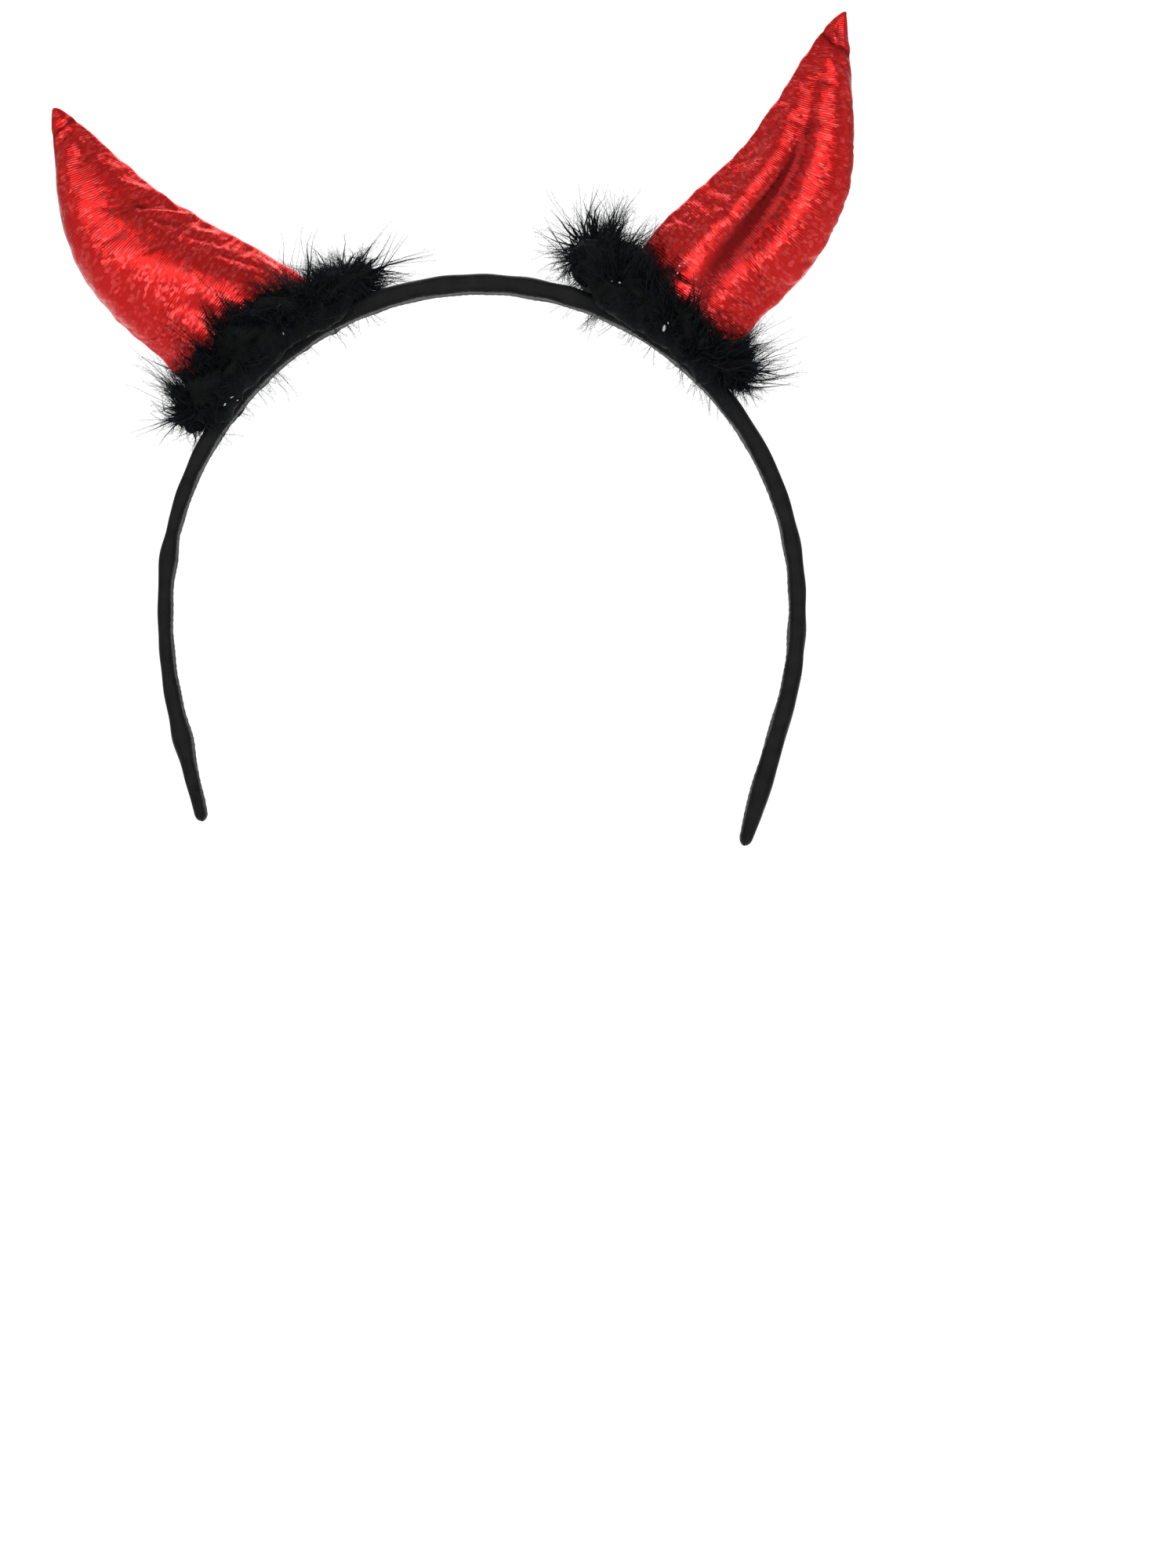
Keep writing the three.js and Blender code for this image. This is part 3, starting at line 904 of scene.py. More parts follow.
LEFT_DENTS = [
    Dent(Face.FRONT, 0.6, 0.8, 0.05, 0.4, 0.2, 0.14),
    Dent(Face.FRONT, 0.46, 0.8, 0.045, 0.4, 0.2, 0.15),
    Dent(Face.FRONT, 0.2, 0.58, 0.13, 0.13, 0.12, 0.16),
    Dent(Face.FRONT, 0.16, -0.15, 0.12, 0.13, -0.08, 0.13),
    Dent(Face.FRONT, 0.72, -0.2, 0.14, 0.22, 0.05, 0.1),
    Dent(Face.BACK, 0.42, 0.15, 0.2, 0.24, 0.15, 0.18),
    Dent(Face.BACK, 0.68, -0.35, 0.12, 0.22, 0.15, 0.13),
    Dent(Face.BACK, 0.17, -0.3, 0.12, 0.15, 0.1, 0.14),
]

RIGHT_DENTS = [
    Dent(Face.FRONT, 0.46, 0.0, 0.27, 0.26, -0.2, 0.25),
    Dent(Face.FRONT, 0.24, 0.72, 0.04, 0.35, -0.25, 0.16),
    Dent(Face.FRONT, 0.14, -0.4, 0.09, 0.14, 0.1, 0.15),
    Dent(Face.FRONT, 0.4, -0.82, 0.06, 0.3, -0.15, 0.06),
    Dent(Face.BACK, 0.42, 0.05, 0.26, 0.22, -0.2, 0.2),
    Dent(Face.BACK, 0.7, 0.3, 0.12, 0.22, -0.1, 0.12),
    Dent(Face.BACK, 0.16, 0.3, 0.1, 0.16, 0.1, 0.14),
]

LEFT_FOLDS = [
    Fold(Face.FRONT, 0.73, 0.76, 118, 3.6, 1.3, 0.4),
    Fold(Face.FRONT, 0.625, 0.86, 116, 4.4, 1.1, 0.65),
    Fold(Face.FRONT, 0.6, 0.68, 116, 4.4, 1.5, -0.7),
    Fold(Face.FRONT, 0.52, 0.84, 114, 4.8, 1.2, 0.75),
    Fold(Face.FRONT, 0.5, 0.66, 114, 4.8, 1.6, -0.8),
    Fold(Face.FRONT, 0.41, 0.86, 110, 4.4, 1.1, 0.55),
    Fold(Face.FRONT, 0.39, 0.72, 110, 4.4, 1.3, -0.5),
    Fold(Face.FRONT, 0.33, 0.64, 104, 5.5, 0.6, -0.5),
    Fold(Face.FRONT, 0.28, 0.48, 102, 6.0, 0.6, -0.5),
    Fold(Face.FRONT, 0.25, 0.74, 106, 5.0, 0.6, -0.45),
    Fold(Face.FRONT, 0.22, 0.3, 96, 5.5, 0.7, -0.45),
    Fold(Face.FRONT, 0.2, 0.6, 100, 5.0, 0.7, 0.5),
    Fold(Face.FRONT, 0.19, -0.55, 66, 4.5, 0.8, 0.75),
    Fold(Face.FRONT, 0.36, -0.6, 78, 7.0, 1.6, -0.6),
    Fold(Face.FRONT, 0.42, -0.72, 88, 20.0, 5.5, 1.6),
    Fold(Face.FRONT, 0.87, 0.25, 95, 3.2, 1.6, 0.5),
    Fold(Face.FRONT, 0.8, 0.05, 90, 3.0, 2.0, -0.4),
    Fold(Face.BACK, 0.62, -0.82, 68, 5.5, 1.2, 0.8),
    Fold(Face.BACK, 0.58, -0.7, 68, 6.5, 1.5, -0.8),
    Fold(Face.BACK, 0.47, -0.85, 72, 5.0, 1.1, 0.7),
    Fold(Face.BACK, 0.24, 0.2, 95, 7.0, 0.8, -0.5),
    Fold(Face.BACK, 0.2, -0.5, 75, 6.0, 0.7, -0.45),
]

RIGHT_FOLDS = [
    Fold(Face.FRONT, 0.955, 0.0, 100, 3.2, 0.8, -0.5),
    Fold(Face.FRONT, 0.955, 0.5, 100, 3.2, 0.7, 0.35),
    Fold(Face.FRONT, 0.86, -0.2, 170, 2.2, 0.9, 0.55),
    Fold(Face.FRONT, 0.83, -0.35, 175, 2.4, 0.9, -0.4),
    Fold(Face.FRONT, 0.6, -0.16, 98, 15.0, 2.8, -1.2),
    Fold(Face.FRONT, 0.31, 0.0, 102, 16.0, 4.2, -1.6),
    Fold(Face.FRONT, 0.5, -0.52, 97, 28.0, 2.9, 1.8),
    Fold(Face.FRONT, 0.54, 0.84, 95, 27.0, 5.8, 2.6),
    Fold(Face.FRONT, 0.25, 0.64, 100, 12.0, 4.6, 1.3),
    Fold(Face.FRONT, 0.25, 0.93, 75, 4.5, 1.0, 0.9),
    Fold(Face.FRONT, 0.215, 0.85, 78, 5.5, 1.2, -0.8),
    Fold(Face.FRONT, 0.66, -0.93, 80, 4.5, 1.2, 0.6),
    Fold(Face.FRONT, 0.15, -0.25, 5, 2.4, 0.8, 0.6),
    Fold(Face.FRONT, 0.13, -0.25, 5, 2.6, 0.7, -0.6),
    Fold(Face.FRONT, 0.15, 0.3, 85, 6.0, 0.7, -0.45),
    Fold(Face.BACK, 0.7, 0.6, 95, 7.0, 1.4, 0.6),
    Fold(Face.BACK, 0.42, 0.05, 100, 15.0, 2.4, -0.9),
    Fold(Face.BACK, 0.3, -0.8, 70, 6.0, 1.2, 0.7),
    Fold(Face.BACK, 0.2, 0.35, 100, 7.0, 0.8, -0.45),
]


@dataclass
class StuffedHorn:
    """A stuffed horn: two foil-cloth panels sewn along both edges, its tip creased and pressed flat."""

    side: Side
    route: StripRoute
    seat: float
    length: float
    width: float
    depth: float
    sections: list[Section]
    dents: list[Dent]
    folds: list[Fold]
    crease_rise: float
    bluntness: float
    seed: int
    seat_gap: float = 0.3 * MM
    seam_pinch: float = 0.26
    foot_level_length: float = 9 * MM
    rings: int = 150
    around: int = 116
    cap_rise: float = 0.93
    cap_rings: int = 28
    foot_rings: int = 5
    tip_rise: float = 1.008
    seam_crowding: float = 0.62
    fill: float = 0.82
    start_share: float = 0.985
    slack: float = 0.035
    cap: float = 1.4 * MM
    seam_hold: float = 5 * MM
    enlargement: float = 10.0
    cloth_steps: int = 18
    lump_height: float = 0.24 * MM
    rough_height: float = 0.022 * MM
    pucker_height: float = 0.24 * MM
    pleat_height: float = 0.35 * MM
    seam_depth: float = 0.22 * MM
    crease_depth: float = 0.45 * MM
    lip_height: float = 0.35 * MM
    bulge_height: float = 0.15 * MM

    def __post_init__(self) -> None:
        """Sets out the foot's place and the horn's own directions."""
        self.table = np.array([tuple(row) for row in self.sections])
        self.foot = self.on_strip(np.zeros(1), np.zeros(1), np.zeros(1))[0]
        self.upwards = self.route.at(np.array([self.side.value * self.seat]))[1][0]
        self.sideways = np.array([self.upwards[2], 0, -self.upwards[0]])

    def on_strip(self, along: Array, across: Array, above: Array) -> Array:
        """Points over the strip, from the middle of the horn's foot."""
        return self.route.on_top(self.side.value * self.seat + along, across, above + self.seat_gap)

    def outline(self, rise: Array) -> tuple[Array, Array, Array]:
        """A level section's middle along the strip, its half width and its half depth."""
        rises, *columns = self.table.T
        crown, arm, depth = (read_table(rise, rises, column) for column in columns)
        middle = self.side.value * self.width * (arm - crown) / 2
        return middle, self.width * (arm + crown) / 2, self.depth * depth / 2

    def place(self, x: Array, y: Array, z: Array) -> Array:
        """Turns the horn's own coordinates into points: bent to the strip at the foot, straight above it."""
        straight = self.foot + x[..., None] * self.sideways + z[..., None] * self.upwards
        straight[..., 1] = y
        share = smooth_step(z, 0, self.foot_level_length)[..., None]
        return (1 - share) * self.on_strip(x, y, z) + share * straight

    def inside(self, points: Array) -> tuple[Array, Array, Array, Array]:
        """Reads points in the horn's own straight coordinates and how far out of its section they lie.

        Args:
            points: Points in the model's frame.

        Returns:
            The x from the section's middle, the y, the z and the distance out as a share of the section.
        """
        from_foot = points - self.foot
        x, z = from_foot @ self.sideways, from_foot @ self.upwards
        middle, half_width, half_depth = self.outline(z / self.length)
        x = x - middle
        return x, points[..., 1], z, np.hypot(x / half_width, points[..., 1] / half_depth)

    def push_out(self, points: Array, clearance: float) -> Array:
        """Moves points that lie in the horn, or nearer to it than a clearance, straight out of its section.

        Args:
            points: Points in the model's frame.
            clearance: The least distance from the horn's surface.

        Returns:
            The points, moved where they had to be.
        """
        x, y, z, out = self.inside(points)
        _, _, half_depth = self.outline(z / self.length)
        wanted = 1 + clearance / half_depth
        beside = (z > 0) & (z < self.length) & (out < wanted)
        scale = np.where(beside, wanted / np.maximum(out, 0.05), 1) - 1
        across, through = (scale * x)[..., None], (scale * y)[..., None]
        return points + across * self.sideways + through * np.array([0, 1, 0])

    def turns(self) -> Array:
        """The places round the horn as angles, clockwise from above, crowded towards the two seams."""
        even = -np.arange(self.around) / self.around * math.tau
        return even - self.seam_crowding / 2 * np.sin(2 * even)

    def pressed(self, turn: Array, rise: Array) -> Array:
        """The share of its depth that each place keeps: one less the sum of its face's bell-shaped dents."""
        kept = np.ones(np.broadcast(turn, rise).shape)
        for dent in self.dents:
            forward = (rise - dent.along) / dent.run
            beside = (np.cos(turn) - dent.across - dent.slant * forward) / dent.spread
            on_face = np.sin(turn) * dent.face.value > 0
            kept -= on_face * dent.sink * np.exp(-(forward**2) - beside**2)
        return kept

    def shares(self) -> tuple[Array, Array, Array]:
        """The rings from foot to tip: each one's rise, the rise its outline is read at, and how full it is.

        The foot closes level. The tip closes as a blunt cone: above the cap's start its rings narrow with a
        power of the height that is left, and lie closer together towards the end.
        """
        foot = np.linspace(0.12, 1, self.foot_rings, endpoint=False)
        body = np.linspace(0, self.cap_rise, self.rings)
        left = np.linspace(1, 0, self.cap_rings + 2)[1:-1]
        cap = self.tip_rise - (self.tip_rise - self.cap_rise) * left**2
        rise = np.concatenate([np.zeros(len(foot)), body, cap])
        fill = np.concatenate([foot, np.ones(len(body)), left ** (2 * self.bluntness)])
        return rise[:, None], np.minimum(rise, self.cap_rise)[:, None], fill[:, None]

    def surface(self, swollen: float = 1.0) -> tuple[Array, Array]:
        """The horn before its cloth is simulated: level sections of two bulging panels that meet in seams.

        Args:
            swollen: The share of its depth and width at which the horn is drawn.

        Returns:
            The rings of points and the two poles.
        """
        rise, read_at, fill = self.shares()
        turn = self.turns()[None]
        middle = self.outline(rise)[0]
        _, half_width, half_depth = self.outline(read_at)
        across, out = np.cos(turn), np.sin(turn)
        bulge = out * (1 - self.seam_pinch * across**2)
        x = middle + half_width * across * fill * swollen
        y = half_depth * self.pressed(turn, rise) * bulge * fill * swollen
        z = rise * self.length + 0 * turn
        points = self.place(x, y, z)
        ends = self.outline(np.array([0, self.tip_rise]))[0]
        poles = self.place(ends, np.zeros(2), np.array([0, self.tip_rise * self.length]))
        return points, poles

    def chart(self) -> Array:
        """The panels' cloth coordinates in metres: across the horn's axis, and along it.

        The axis leans as the sections' middles move, so a level section is turned by that lean: across is
        the distance from the middle times the lean's cosine and a little for the panel's bulge, and along is
        the axis's length plus that distance times the lean's sine.
        """
        rise, read_at, fill = self.shares()
        turn = np.append(self.turns(), -math.tau)[None]
        _, half_width, half_depth = self.outline(read_at)
        levels = np.linspace(0, 1, 400)
        middles = self.outline(levels)[0]
        leans = np.arctan(np.gradient(middles, levels * self.length))
        lengths = np.cumsum(1 / np.cos(leans)) * self.length / len(levels)
        lean = np.interp(rise, levels, leans)
        from_middle = half_width * np.cos(turn) * fill
        around = from_middle * np.cos(lean) + np.sin(turn) * half_depth * 0.35 * np.cos(turn)
        along = np.interp(rise, levels, lengths) + from_middle * np.sin(lean)
        return np.stack([around, along], -1)

    def simulate(self, obj: bpy.types.Object, target: Array) -> None:
        """Inflates the two panels as their stuffing does, between seams, foot and tip that hold them.

        The panels have a little more cloth than the space between their seams, so they pucker. The cloth is
        simulated enlarged, at a size that suits the solver's steps. Its movement fades away beside the
        seams, where the two panels would otherwise pass through each other.

        Args:
            obj: The horn's object, drawn slightly slack.
            target: The points of the full horn, about which the result is capped.
        """
        scene, mesh = bpy.context.scene, obj.data
        write_points(mesh, read_points(mesh) * self.enlargement)
        rise = self.shares()[0]
        turn = self.turns()[None]
        fixed = (np.abs(np.sin(turn)) < 0.05) | (rise < 0.03) | (rise > self.crease_rise)
        held = obj.vertex_groups.new(name="held")
        held.add(np.flatnonzero(fixed.ravel()).tolist() + [fixed.size, fixed.size + 1], 1.0, "REPLACE")
        cloth = obj.modifiers.new("cloth", "CLOTH")
        settings = cloth.settings
        settings.quality = 5
        settings.mass = 0.3
        settings.tension_stiffness = settings.compression_stiffness = 20
        settings.shear_stiffness = 6
        settings.bending_stiffness = 0.12
        settings.air_damping = 2
        settings.use_pressure = True
        settings.uniform_pressure_force = 4
        settings.shrink_min = -self.slack
        settings.vertex_group_mass = "held"
        settings.effector_weights.gravity = 0
        cloth.collision_settings.use_collision = False
        cloth.point_cache.frame_start, cloth.point_cache.frame_end = 1, self.cloth_steps
        for step in range(1, self.cloth_steps + 1):
            scene.frame_set(step)
        settled = obj.evaluated_get(bpy.context.evaluated_depsgraph_get()).to_mesh()
        points = read_points(settled) / self.enlargement
        obj.modifiers.remove(cloth)
        obj.vertex_groups.remove(held)
        scene.frame_set(1)
        moved = points - target
        free = smooth_step(self.from_seam(), 0.5 * MM, self.seam_hold)
        moved *= np.append(free.ravel(), [0, 0])[:, None]
        far = np.linalg.norm(moved, axis=1, keepdims=True)
        log.info("%s moved by %.2f mm on average, %.2f at most", obj.name, far.mean() / MM, far.max() / MM)
        write_points(mesh, target + moved * np.minimum(1, self.cap / np.maximum(far, 1e-9)))

    def from_seam(self) -> Array:
        """How far each place round each ring lies from the nearer seam, across and through the horn."""
        _, read_at, fill = self.shares()
        turn = self.turns()[None]
        _, half_width, half_depth = self.outline(read_at)
        return np.hypot(half_width * (1 - np.abs(np.cos(turn))), half_depth * np.sin(turn)) * fill

    def relief(self) -> tuple[Array, Array, Array]:
        """The cloth's fine forms as heights along its outward direction, with its seams and the shade
        painted into its hollows.

        The heights are the sum of the stuffing's lumps, the folds, puckers that fade away from the seams,
        pleats that fade away from the foot, the seams' own grooves, and the crease below the tip.

        Returns:
            The heights ring by ring, and each place's nearness to a seam and depth in a hollow, 0 to 1.
        """
        rise, read_at, fill = self.shares()
        turn = self.turns()[None]
        half_width = self.outline(read_at)[1]
        across, out = np.cos(turn), np.sin(turn)
        along = rise * self.length
        sideways = across * half_width
        front = np.where(out < 0, 1, -1)
        from_seam = self.from_seam()
        apart = along + front * 0.5
        lumps = self.lump_height * waves(apart, sideways, 15 * MM, self.seed) * np.abs(out)
        rough = self.rough_height * waves(apart, sideways, 3.4 * MM, self.seed + 1) * np.abs(out)
        folds = self.fold_heights(turn, rise, half_width)
        heights = lumps + rough + folds
        edge = np.sign(across) * 0.2
        puckers = self.pucker_height * waves(along + edge, 0 * along + edge, 5.5 * MM, self.seed + 2, 5)
        heights += puckers * np.exp(-from_seam / (2.4 * MM)) * smooth_step(from_seam, 0, 1.2 * MM)
        pleats = waves(sideways + front * 0.3, 0.25 * along, 3.6 * MM, self.seed + 3, 5)
        heights += self.pleat_height * pleats * smooth_step(-rise, -0.3, -0.08) * np.abs(out)
        heights -= self.seam_depth * np.exp(-((from_seam / (0.35 * MM)) ** 2)) * smooth_step(rise, 0, 0.05)
        heights += self.crease_heights(rise, across, out)
        seam = np.exp(-((from_seam / (0.28 * MM)) ** 2))
        dents = 1 - self.pressed(turn, rise)
        # Painted shade: deepest in sunk folds, dents and along the crease, where the cloth would lie in
        # shade.
        hollow = np.clip(0.9 * smooth_step(-folds, 0.25 * MM, 1.2 * MM) + 2.4 * dents**1.5, 0, 1)
        hollow = np.maximum(hollow, np.exp(-(((rise - self.crease_rise) * self.length / (0.6 * MM)) ** 2)))
        return heights * np.minimum(fill, 1), seam * np.ones_like(heights), hollow * np.ones_like(heights)

    def fold_heights(self, turn: Array, rise: Array, half_width: Array) -> Array:
        """The folds' heights: each a bell across its line that fades at both ends and beside the seams."""
        heights, from_seam = np.zeros(np.broadcast(turn, rise).shape), self.from_seam()
        for fold in self.folds:
            heading = math.radians(fold.heading)
            forward = (rise - fold.along) * self.length
            beside = (np.cos(turn) - fold.across) * half_width
            run = (beside * math.cos(heading) + forward * math.sin(heading)) / (fold.half_length * MM)
            off = (forward * math.cos(heading) - beside * math.sin(heading)) / (fold.half_breadth * MM)
            on_face = np.sin(turn) * fold.face.value > 0
            held = np.minimum(1, from_seam / (0.8 * fold.half_breadth * MM))
            heights += on_face * held * fold.height * MM * np.exp(-(run**2) - off**2)
        return heights

    def crease_heights(self, rise: Array, across: Array, out: Array) -> Array:
        """The crease below the tip: a groove with a lip above it and a small bulge below, on both panels."""
        wander = 0.005 * np.sin(3 * across + self.seed) - 0.006 * across
        from_crease = (rise - self.crease_rise - wander) * self.length
        groove = -self.crease_depth * np.exp(-((from_crease / (0.7 * MM)) ** 2))
        lip = self.lip_height * np.exp(-(((from_crease - 1.5 * MM) / (0.9 * MM)) ** 2))
        bulge = self.bulge_height * np.exp(-(((from_crease + 2.1 * MM) / (1.3 * MM)) ** 2))
        rumple = 1 + 0.4 * np.sin(7 * across + 2 * self.seed)
        return (groove + (lip + bulge) * rumple) * (0.2 + 0.8 * np.abs(out))

    def build(self, finish: bpy.types.Material) -> bpy.types.Object:
        """Builds the horn: drawn slack, inflated as cloth, then given its folds, puckers, seams and crease.

        Args:
            finish: The foil cloth.

        Returns:
            The horn's object.
        """
        name = f"stuffed_horn_{self.side.label}"
        points, poles = self.surface()
        target = np.concatenate([points.reshape(-1, 3), poles])
        mesh = Skin(points, poles, self.chart()).mesh(name)
        outward = read_normals(mesh)
        obj = add_object(name, mesh, finish)
        slack, slack_poles = self.surface(self.start_share)
        write_points(mesh, np.concatenate([slack.reshape(-1, 3), slack_poles]))
        self.simulate(obj, target)
        heights, seam, hollow = self.relief()
        lifted = read_points(mesh)
        lifted[:-2] += outward[:-2] * heights.reshape(-1, 1)
        write_points(mesh, lifted)
        add_values(mesh, "seam", np.append(seam.ravel(), [0, 1]))
        # The painted shade's mask, which darkens the foil's colour in the hollows.
        add_values(mesh, "hollow", np.append(hollow.ravel(), [0, 0]))
        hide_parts(f"horn_{self.side.label}")
        return obj


# The feather trims


class Mass(NamedTuple):
    """The trim's fullness in a direction from the horn's foot.

    `towards` is in degrees from the crown side by way of the front. `thick` and `tall` are shares of the
    trim's thickness and height, and `reach` is a share of a barb's length.
    """

    towards: float
    thick: float
    tall: float
    reach: float


LEFT_MASSES = [
    Mass(0, 1.75, 0.75, 0.6),
    Mass(45, 1.2, 0.85, 0.8),
    Mass(90, 0.9, 1.15, 0.85),
    Mass(135, 0.8, 0.95, 1.1),
    Mass(180, 0.75, 0.85, 1.0),
    Mass(270, 1.0, 1.05, 0.6),
]

RIGHT_MASSES = [
    Mass(0, 1.75, 1.4, 1.0),
    Mass(45, 1.15, 1.0, 0.8),
    Mass(90, 0.85, 0.7, 0.7),
    Mass(135, 0.8, 0.6, 0.8),
    Mass(180, 0.95, 0.7, 1.1),
    Mass(270, 1.0, 0.95, 0.6),
]


@dataclass(frozen=True)
class Wisps:
    """A layer of down: where its tufts stand, how its barbs lie in them and how finely they branch.

    Swings are in degrees up from straight out, and so are those of the apron, the share of the tufts that
    lies up the horn. Reaches are shares of a barb's length, and stray, curl and wave are shares of a tuft's.
    """

    name: str
    tufts: int
    barbs: int
    swings: tuple[float, float]
    apron_share: float
    apron: tuple[float, float]
    reaches: tuple[float, float]
    root_spread: float
    stray: float
    curl: float
    wave: float
    barbules: int
    barbule_length: float
    steps: int
    locks: int
    lock_radius: float


UNDERGROWTH = Wisps(
    name="undergrowth",
    tufts=620,
    barbs=3,
    swings=(-75, 150),
    apron_share=0.16,
    apron=(80, 120),
    reaches=(0.1, 0.6),
    root_spread=1.5 * MM,
    stray=0.3,
    curl=0.34,
    wave=0.08,
    barbules=19,
    barbule_length=1.7 * MM,
    steps=5,
    locks=1,
    lock_radius=0.42 * MM,
)
LONG_WISPS = Wisps(
    name="wisps",
    tufts=140,
    barbs=11,
    swings=(-45, 112),
    apron_share=0.3,
    apron=(75, 120),
    reaches=(0.3, 0.98),
    root_spread=1.4 * MM,
    stray=0.15,
    curl=0.32,
    wave=0.09,
    barbules=19,
    barbule_length=1.1 * MM,
    steps=8,
    locks=3,
    lock_radius=0.5 * MM,
)


@dataclass
class FeatherTrim:
    """A strand of down wound round a horn's foot: a dark heart, short undergrowth and long wisps."""

    horn: StuffedHorn
    masses: list[Mass]
    seed: int
    thickness: float = 9.5 * MM
    height: float = 13 * MM
    overhang: float = 6.4 * MM
    bite: float = 3 * MM
    barb_length: float = 9.5 * MM
    barb_radius: float = 0.09 * MM
    barbule_radius: float = 0.036 * MM
    heart_share: float = 0.5
    heart_steps: int = 160
    heart_sides: int = 40
    lean: float = 0.3
    hanging_share: float = 0.5
    longest_stride: float = 4.2 * MM

    def section(self, around: Array) -> dict[str, Array]:
        """The trim's section at shares of a turn round the horn's foot, counter-clockwise seen from above.

        Args:
            around: Shares of the turn.

        Returns:
            Where it meets the horn, its outward direction, half thickness, levels and reach, by name.
        """
        side = self.horn.side
        from_crown = -around if side is Side.LEFT else around - 0.5
        towards = np.mod(from_crown * 360, 360)
        table = np.array([tuple(row) for row in self.masses])
        turned = np.concatenate([table + [turn, 0, 0, 0] for turn in (-360, 0, 360)])
        headings, *columns = turned.T
        thick, tall, reach = (read_table(towards, headings, column) for column in columns)
        level = np.full_like(around, self.height / 2 / self.horn.length)
        middle, half_width, half_depth = self.horn.outline(level)
        turn = np.stack([np.cos(around * math.tau), np.sin(around * math.tau)], -1)
        radii = np.stack([half_width, half_depth], -1)
        meeting = turn * radii
        meeting[..., 0] += middle
        half_strip = self.horn.route.width / 2
        beside = smooth_step(np.abs(meeting[..., 1]), half_strip / 2, half_strip + 0.3 * MM)
        lowest = -(self.bite / 2 * (1 - beside) + self.overhang * beside)
        return {
            "meeting": meeting,
            "outward": unit(turn / radii),
            "half_thick": (self.thickness * thick + self.bite) / 2,
            "lowest": lowest,
            "highest": self.height * tall,
            "reach": reach,
        }

    def point(self, section: dict[str, Array], swing: Array, beyond: Array, share: float = 1.0) -> Array:
        """A point of the trim's oval section.

        Args:
            section: What `section` gives.
            swing: The direction from the oval's middle, in radians up from straight out.
            beyond: How far outside the oval the point is.
            share: The share of its size at which the oval is drawn.

        Returns:
            The points.
        """
        half_thick, low, high = section["half_thick"], section["lowest"], section["highest"]
        out = half_thick - self.bite + np.cos(swing) * (half_thick * share + beyond)
        above = (high + low) / 2 + np.sin(swing) * ((high - low) / 2 * share + beyond)
        flat = section["meeting"] + section["outward"] * out[..., None]
        return self.horn.on_strip(flat[..., 0], flat[..., 1], above)

    def heart(self, finish: bpy.types.Material) -> bpy.types.Object:
        """The matted heart of the trim: a lumpy ring, kept out of the horn and over the strip.

        Args:
            finish: The down.

        Returns:
            The ring's object.
        """
        around = np.arange(self.heart_steps)[:, None] / self.heart_steps
        swing = np.arange(self.heart_sides)[None] / self.heart_sides * math.tau
        around, swing = np.broadcast_arrays(around, swing)
        across_x, across_y = np.cos(around * math.tau) * 18 * MM, np.sin(around * math.tau) * 18 * MM
        lumps = 1.1 * MM * waves(across_x + swing * 3 * MM, across_y, 8 * MM, self.seed)
        lumps += 0.5 * MM * waves(across_x, across_y + swing * 4 * MM, 2.6 * MM, self.seed + 1)
        lumps = lumps * (1 - 0.6 * smooth_step(-np.sin(swing), 0.3, 0.9))
        share = self.heart_size(swing)
        points = self.keep_clear(self.point(self.section(around), swing, lumps, share), 0.35 * MM)
        step, place = np.meshgrid(np.arange(self.heart_steps), np.arange(self.heart_sides), indexing="ij")
        after, above = (step + 1) % self.heart_steps, (place + 1) % self.heart_sides
        corners = [(step, place), (after, place), (after, above), (step, above)]
        faces = np.stack([row * self.heart_sides + column for row, column in corners], -1).reshape(-1, 4)
        name = f"down_heart_{self.horn.side.label}"
        mesh = bpy.data.meshes.new(name)
        fill_mesh(mesh, points.reshape(-1, 3), [faces])
        add_values(mesh, "tip", np.zeros(points.size // 3))
        obj = add_object(name, mesh, finish)
        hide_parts(f"feather_trim_{self.horn.side.label}")
        return obj

    def heart_size(self, swing: Array) -> Array:
        """The heart's share of the trim's oval: whole against horn and strip, less on its open sides."""
        held = np.maximum(-np.cos(swing), -0.55 * np.sin(swing))
        return self.heart_share + (1 - self.heart_share) * smooth_step(held, 0.1, 0.95)

    def spread_out(self, even: Array) -> Array:
        """Turns even shares of a round into places round the foot, closer where the trim is thick."""
        around = np.linspace(-0.1, 1.1, 600)
        section = self.section(around)
        crowding = np.cumsum(section["half_thick"] + 3 * MM)
        whole = np.interp(1, around, crowding) - np.interp(0, around, crowding)
        return np.interp(np.interp(0, around, crowding) + even * whole, crowding, around)

    def barb_lines(self, layer: Wisps) -> tuple[Array, Array]:
        """The barbs' centre lines, gathered in tufts as locks that narrow to their tips.

        A tuft's line is its root plus a share of its heading, plus its curl times that share squared, plus
        a wave that grows with the share. A barb follows it from its own root, closes in on it as it goes,
        stops somewhere along it and strays from it by its own vector times the share squared.

        Args:
            layer: The layer of down.

        Returns:
            The lines, by barb and by point, without those that would have to jump round the horn, and
            whether each is matted into a lock.
        """
        chance = np.random.default_rng(self.seed * 10 + len(layer.name))
        count = layer.tufts
        around = self.spread_out((np.arange(count) + chance.uniform(-0.5, 0.5, count)) / count)
        in_apron = chance.uniform(0, 1, count) < layer.apron_share
        swings = chance.uniform(*layer.apron, count), chance.uniform(*layer.swings, count)
        swing = np.radians(np.where(in_apron, *swings))
        section = self.section(around)
        hanging = np.where(swing < -0.6, self.hanging_share, 1)
        reach = self.barb_length * section["reach"] * hanging * chance.uniform(*layer.reaches, count)
        root = self.point(section, swing, np.full(count, -2.0 * MM), self.heart_share)
        heading = self.point(section, swing, reach) - root
        length = np.linalg.norm(heading, axis=-1)[:, None]
        along = around * 120 * MM
        lean = np.stack([waves(along, 0 * along, 22 * MM, self.seed + part, 4) for part in range(3)], -1)
        curl = (layer.curl * self.scatter(chance, (count, 3)) + self.lean * lean) * length
        wave = unit(chance.normal(0, 1, (count, 3))) * length * layer.wave
        shape = (count, layer.barbs, 1)
        t = np.linspace(0, 1, layer.steps)
        share = (t * chance.uniform(0.45, 1.12, shape))[..., None]
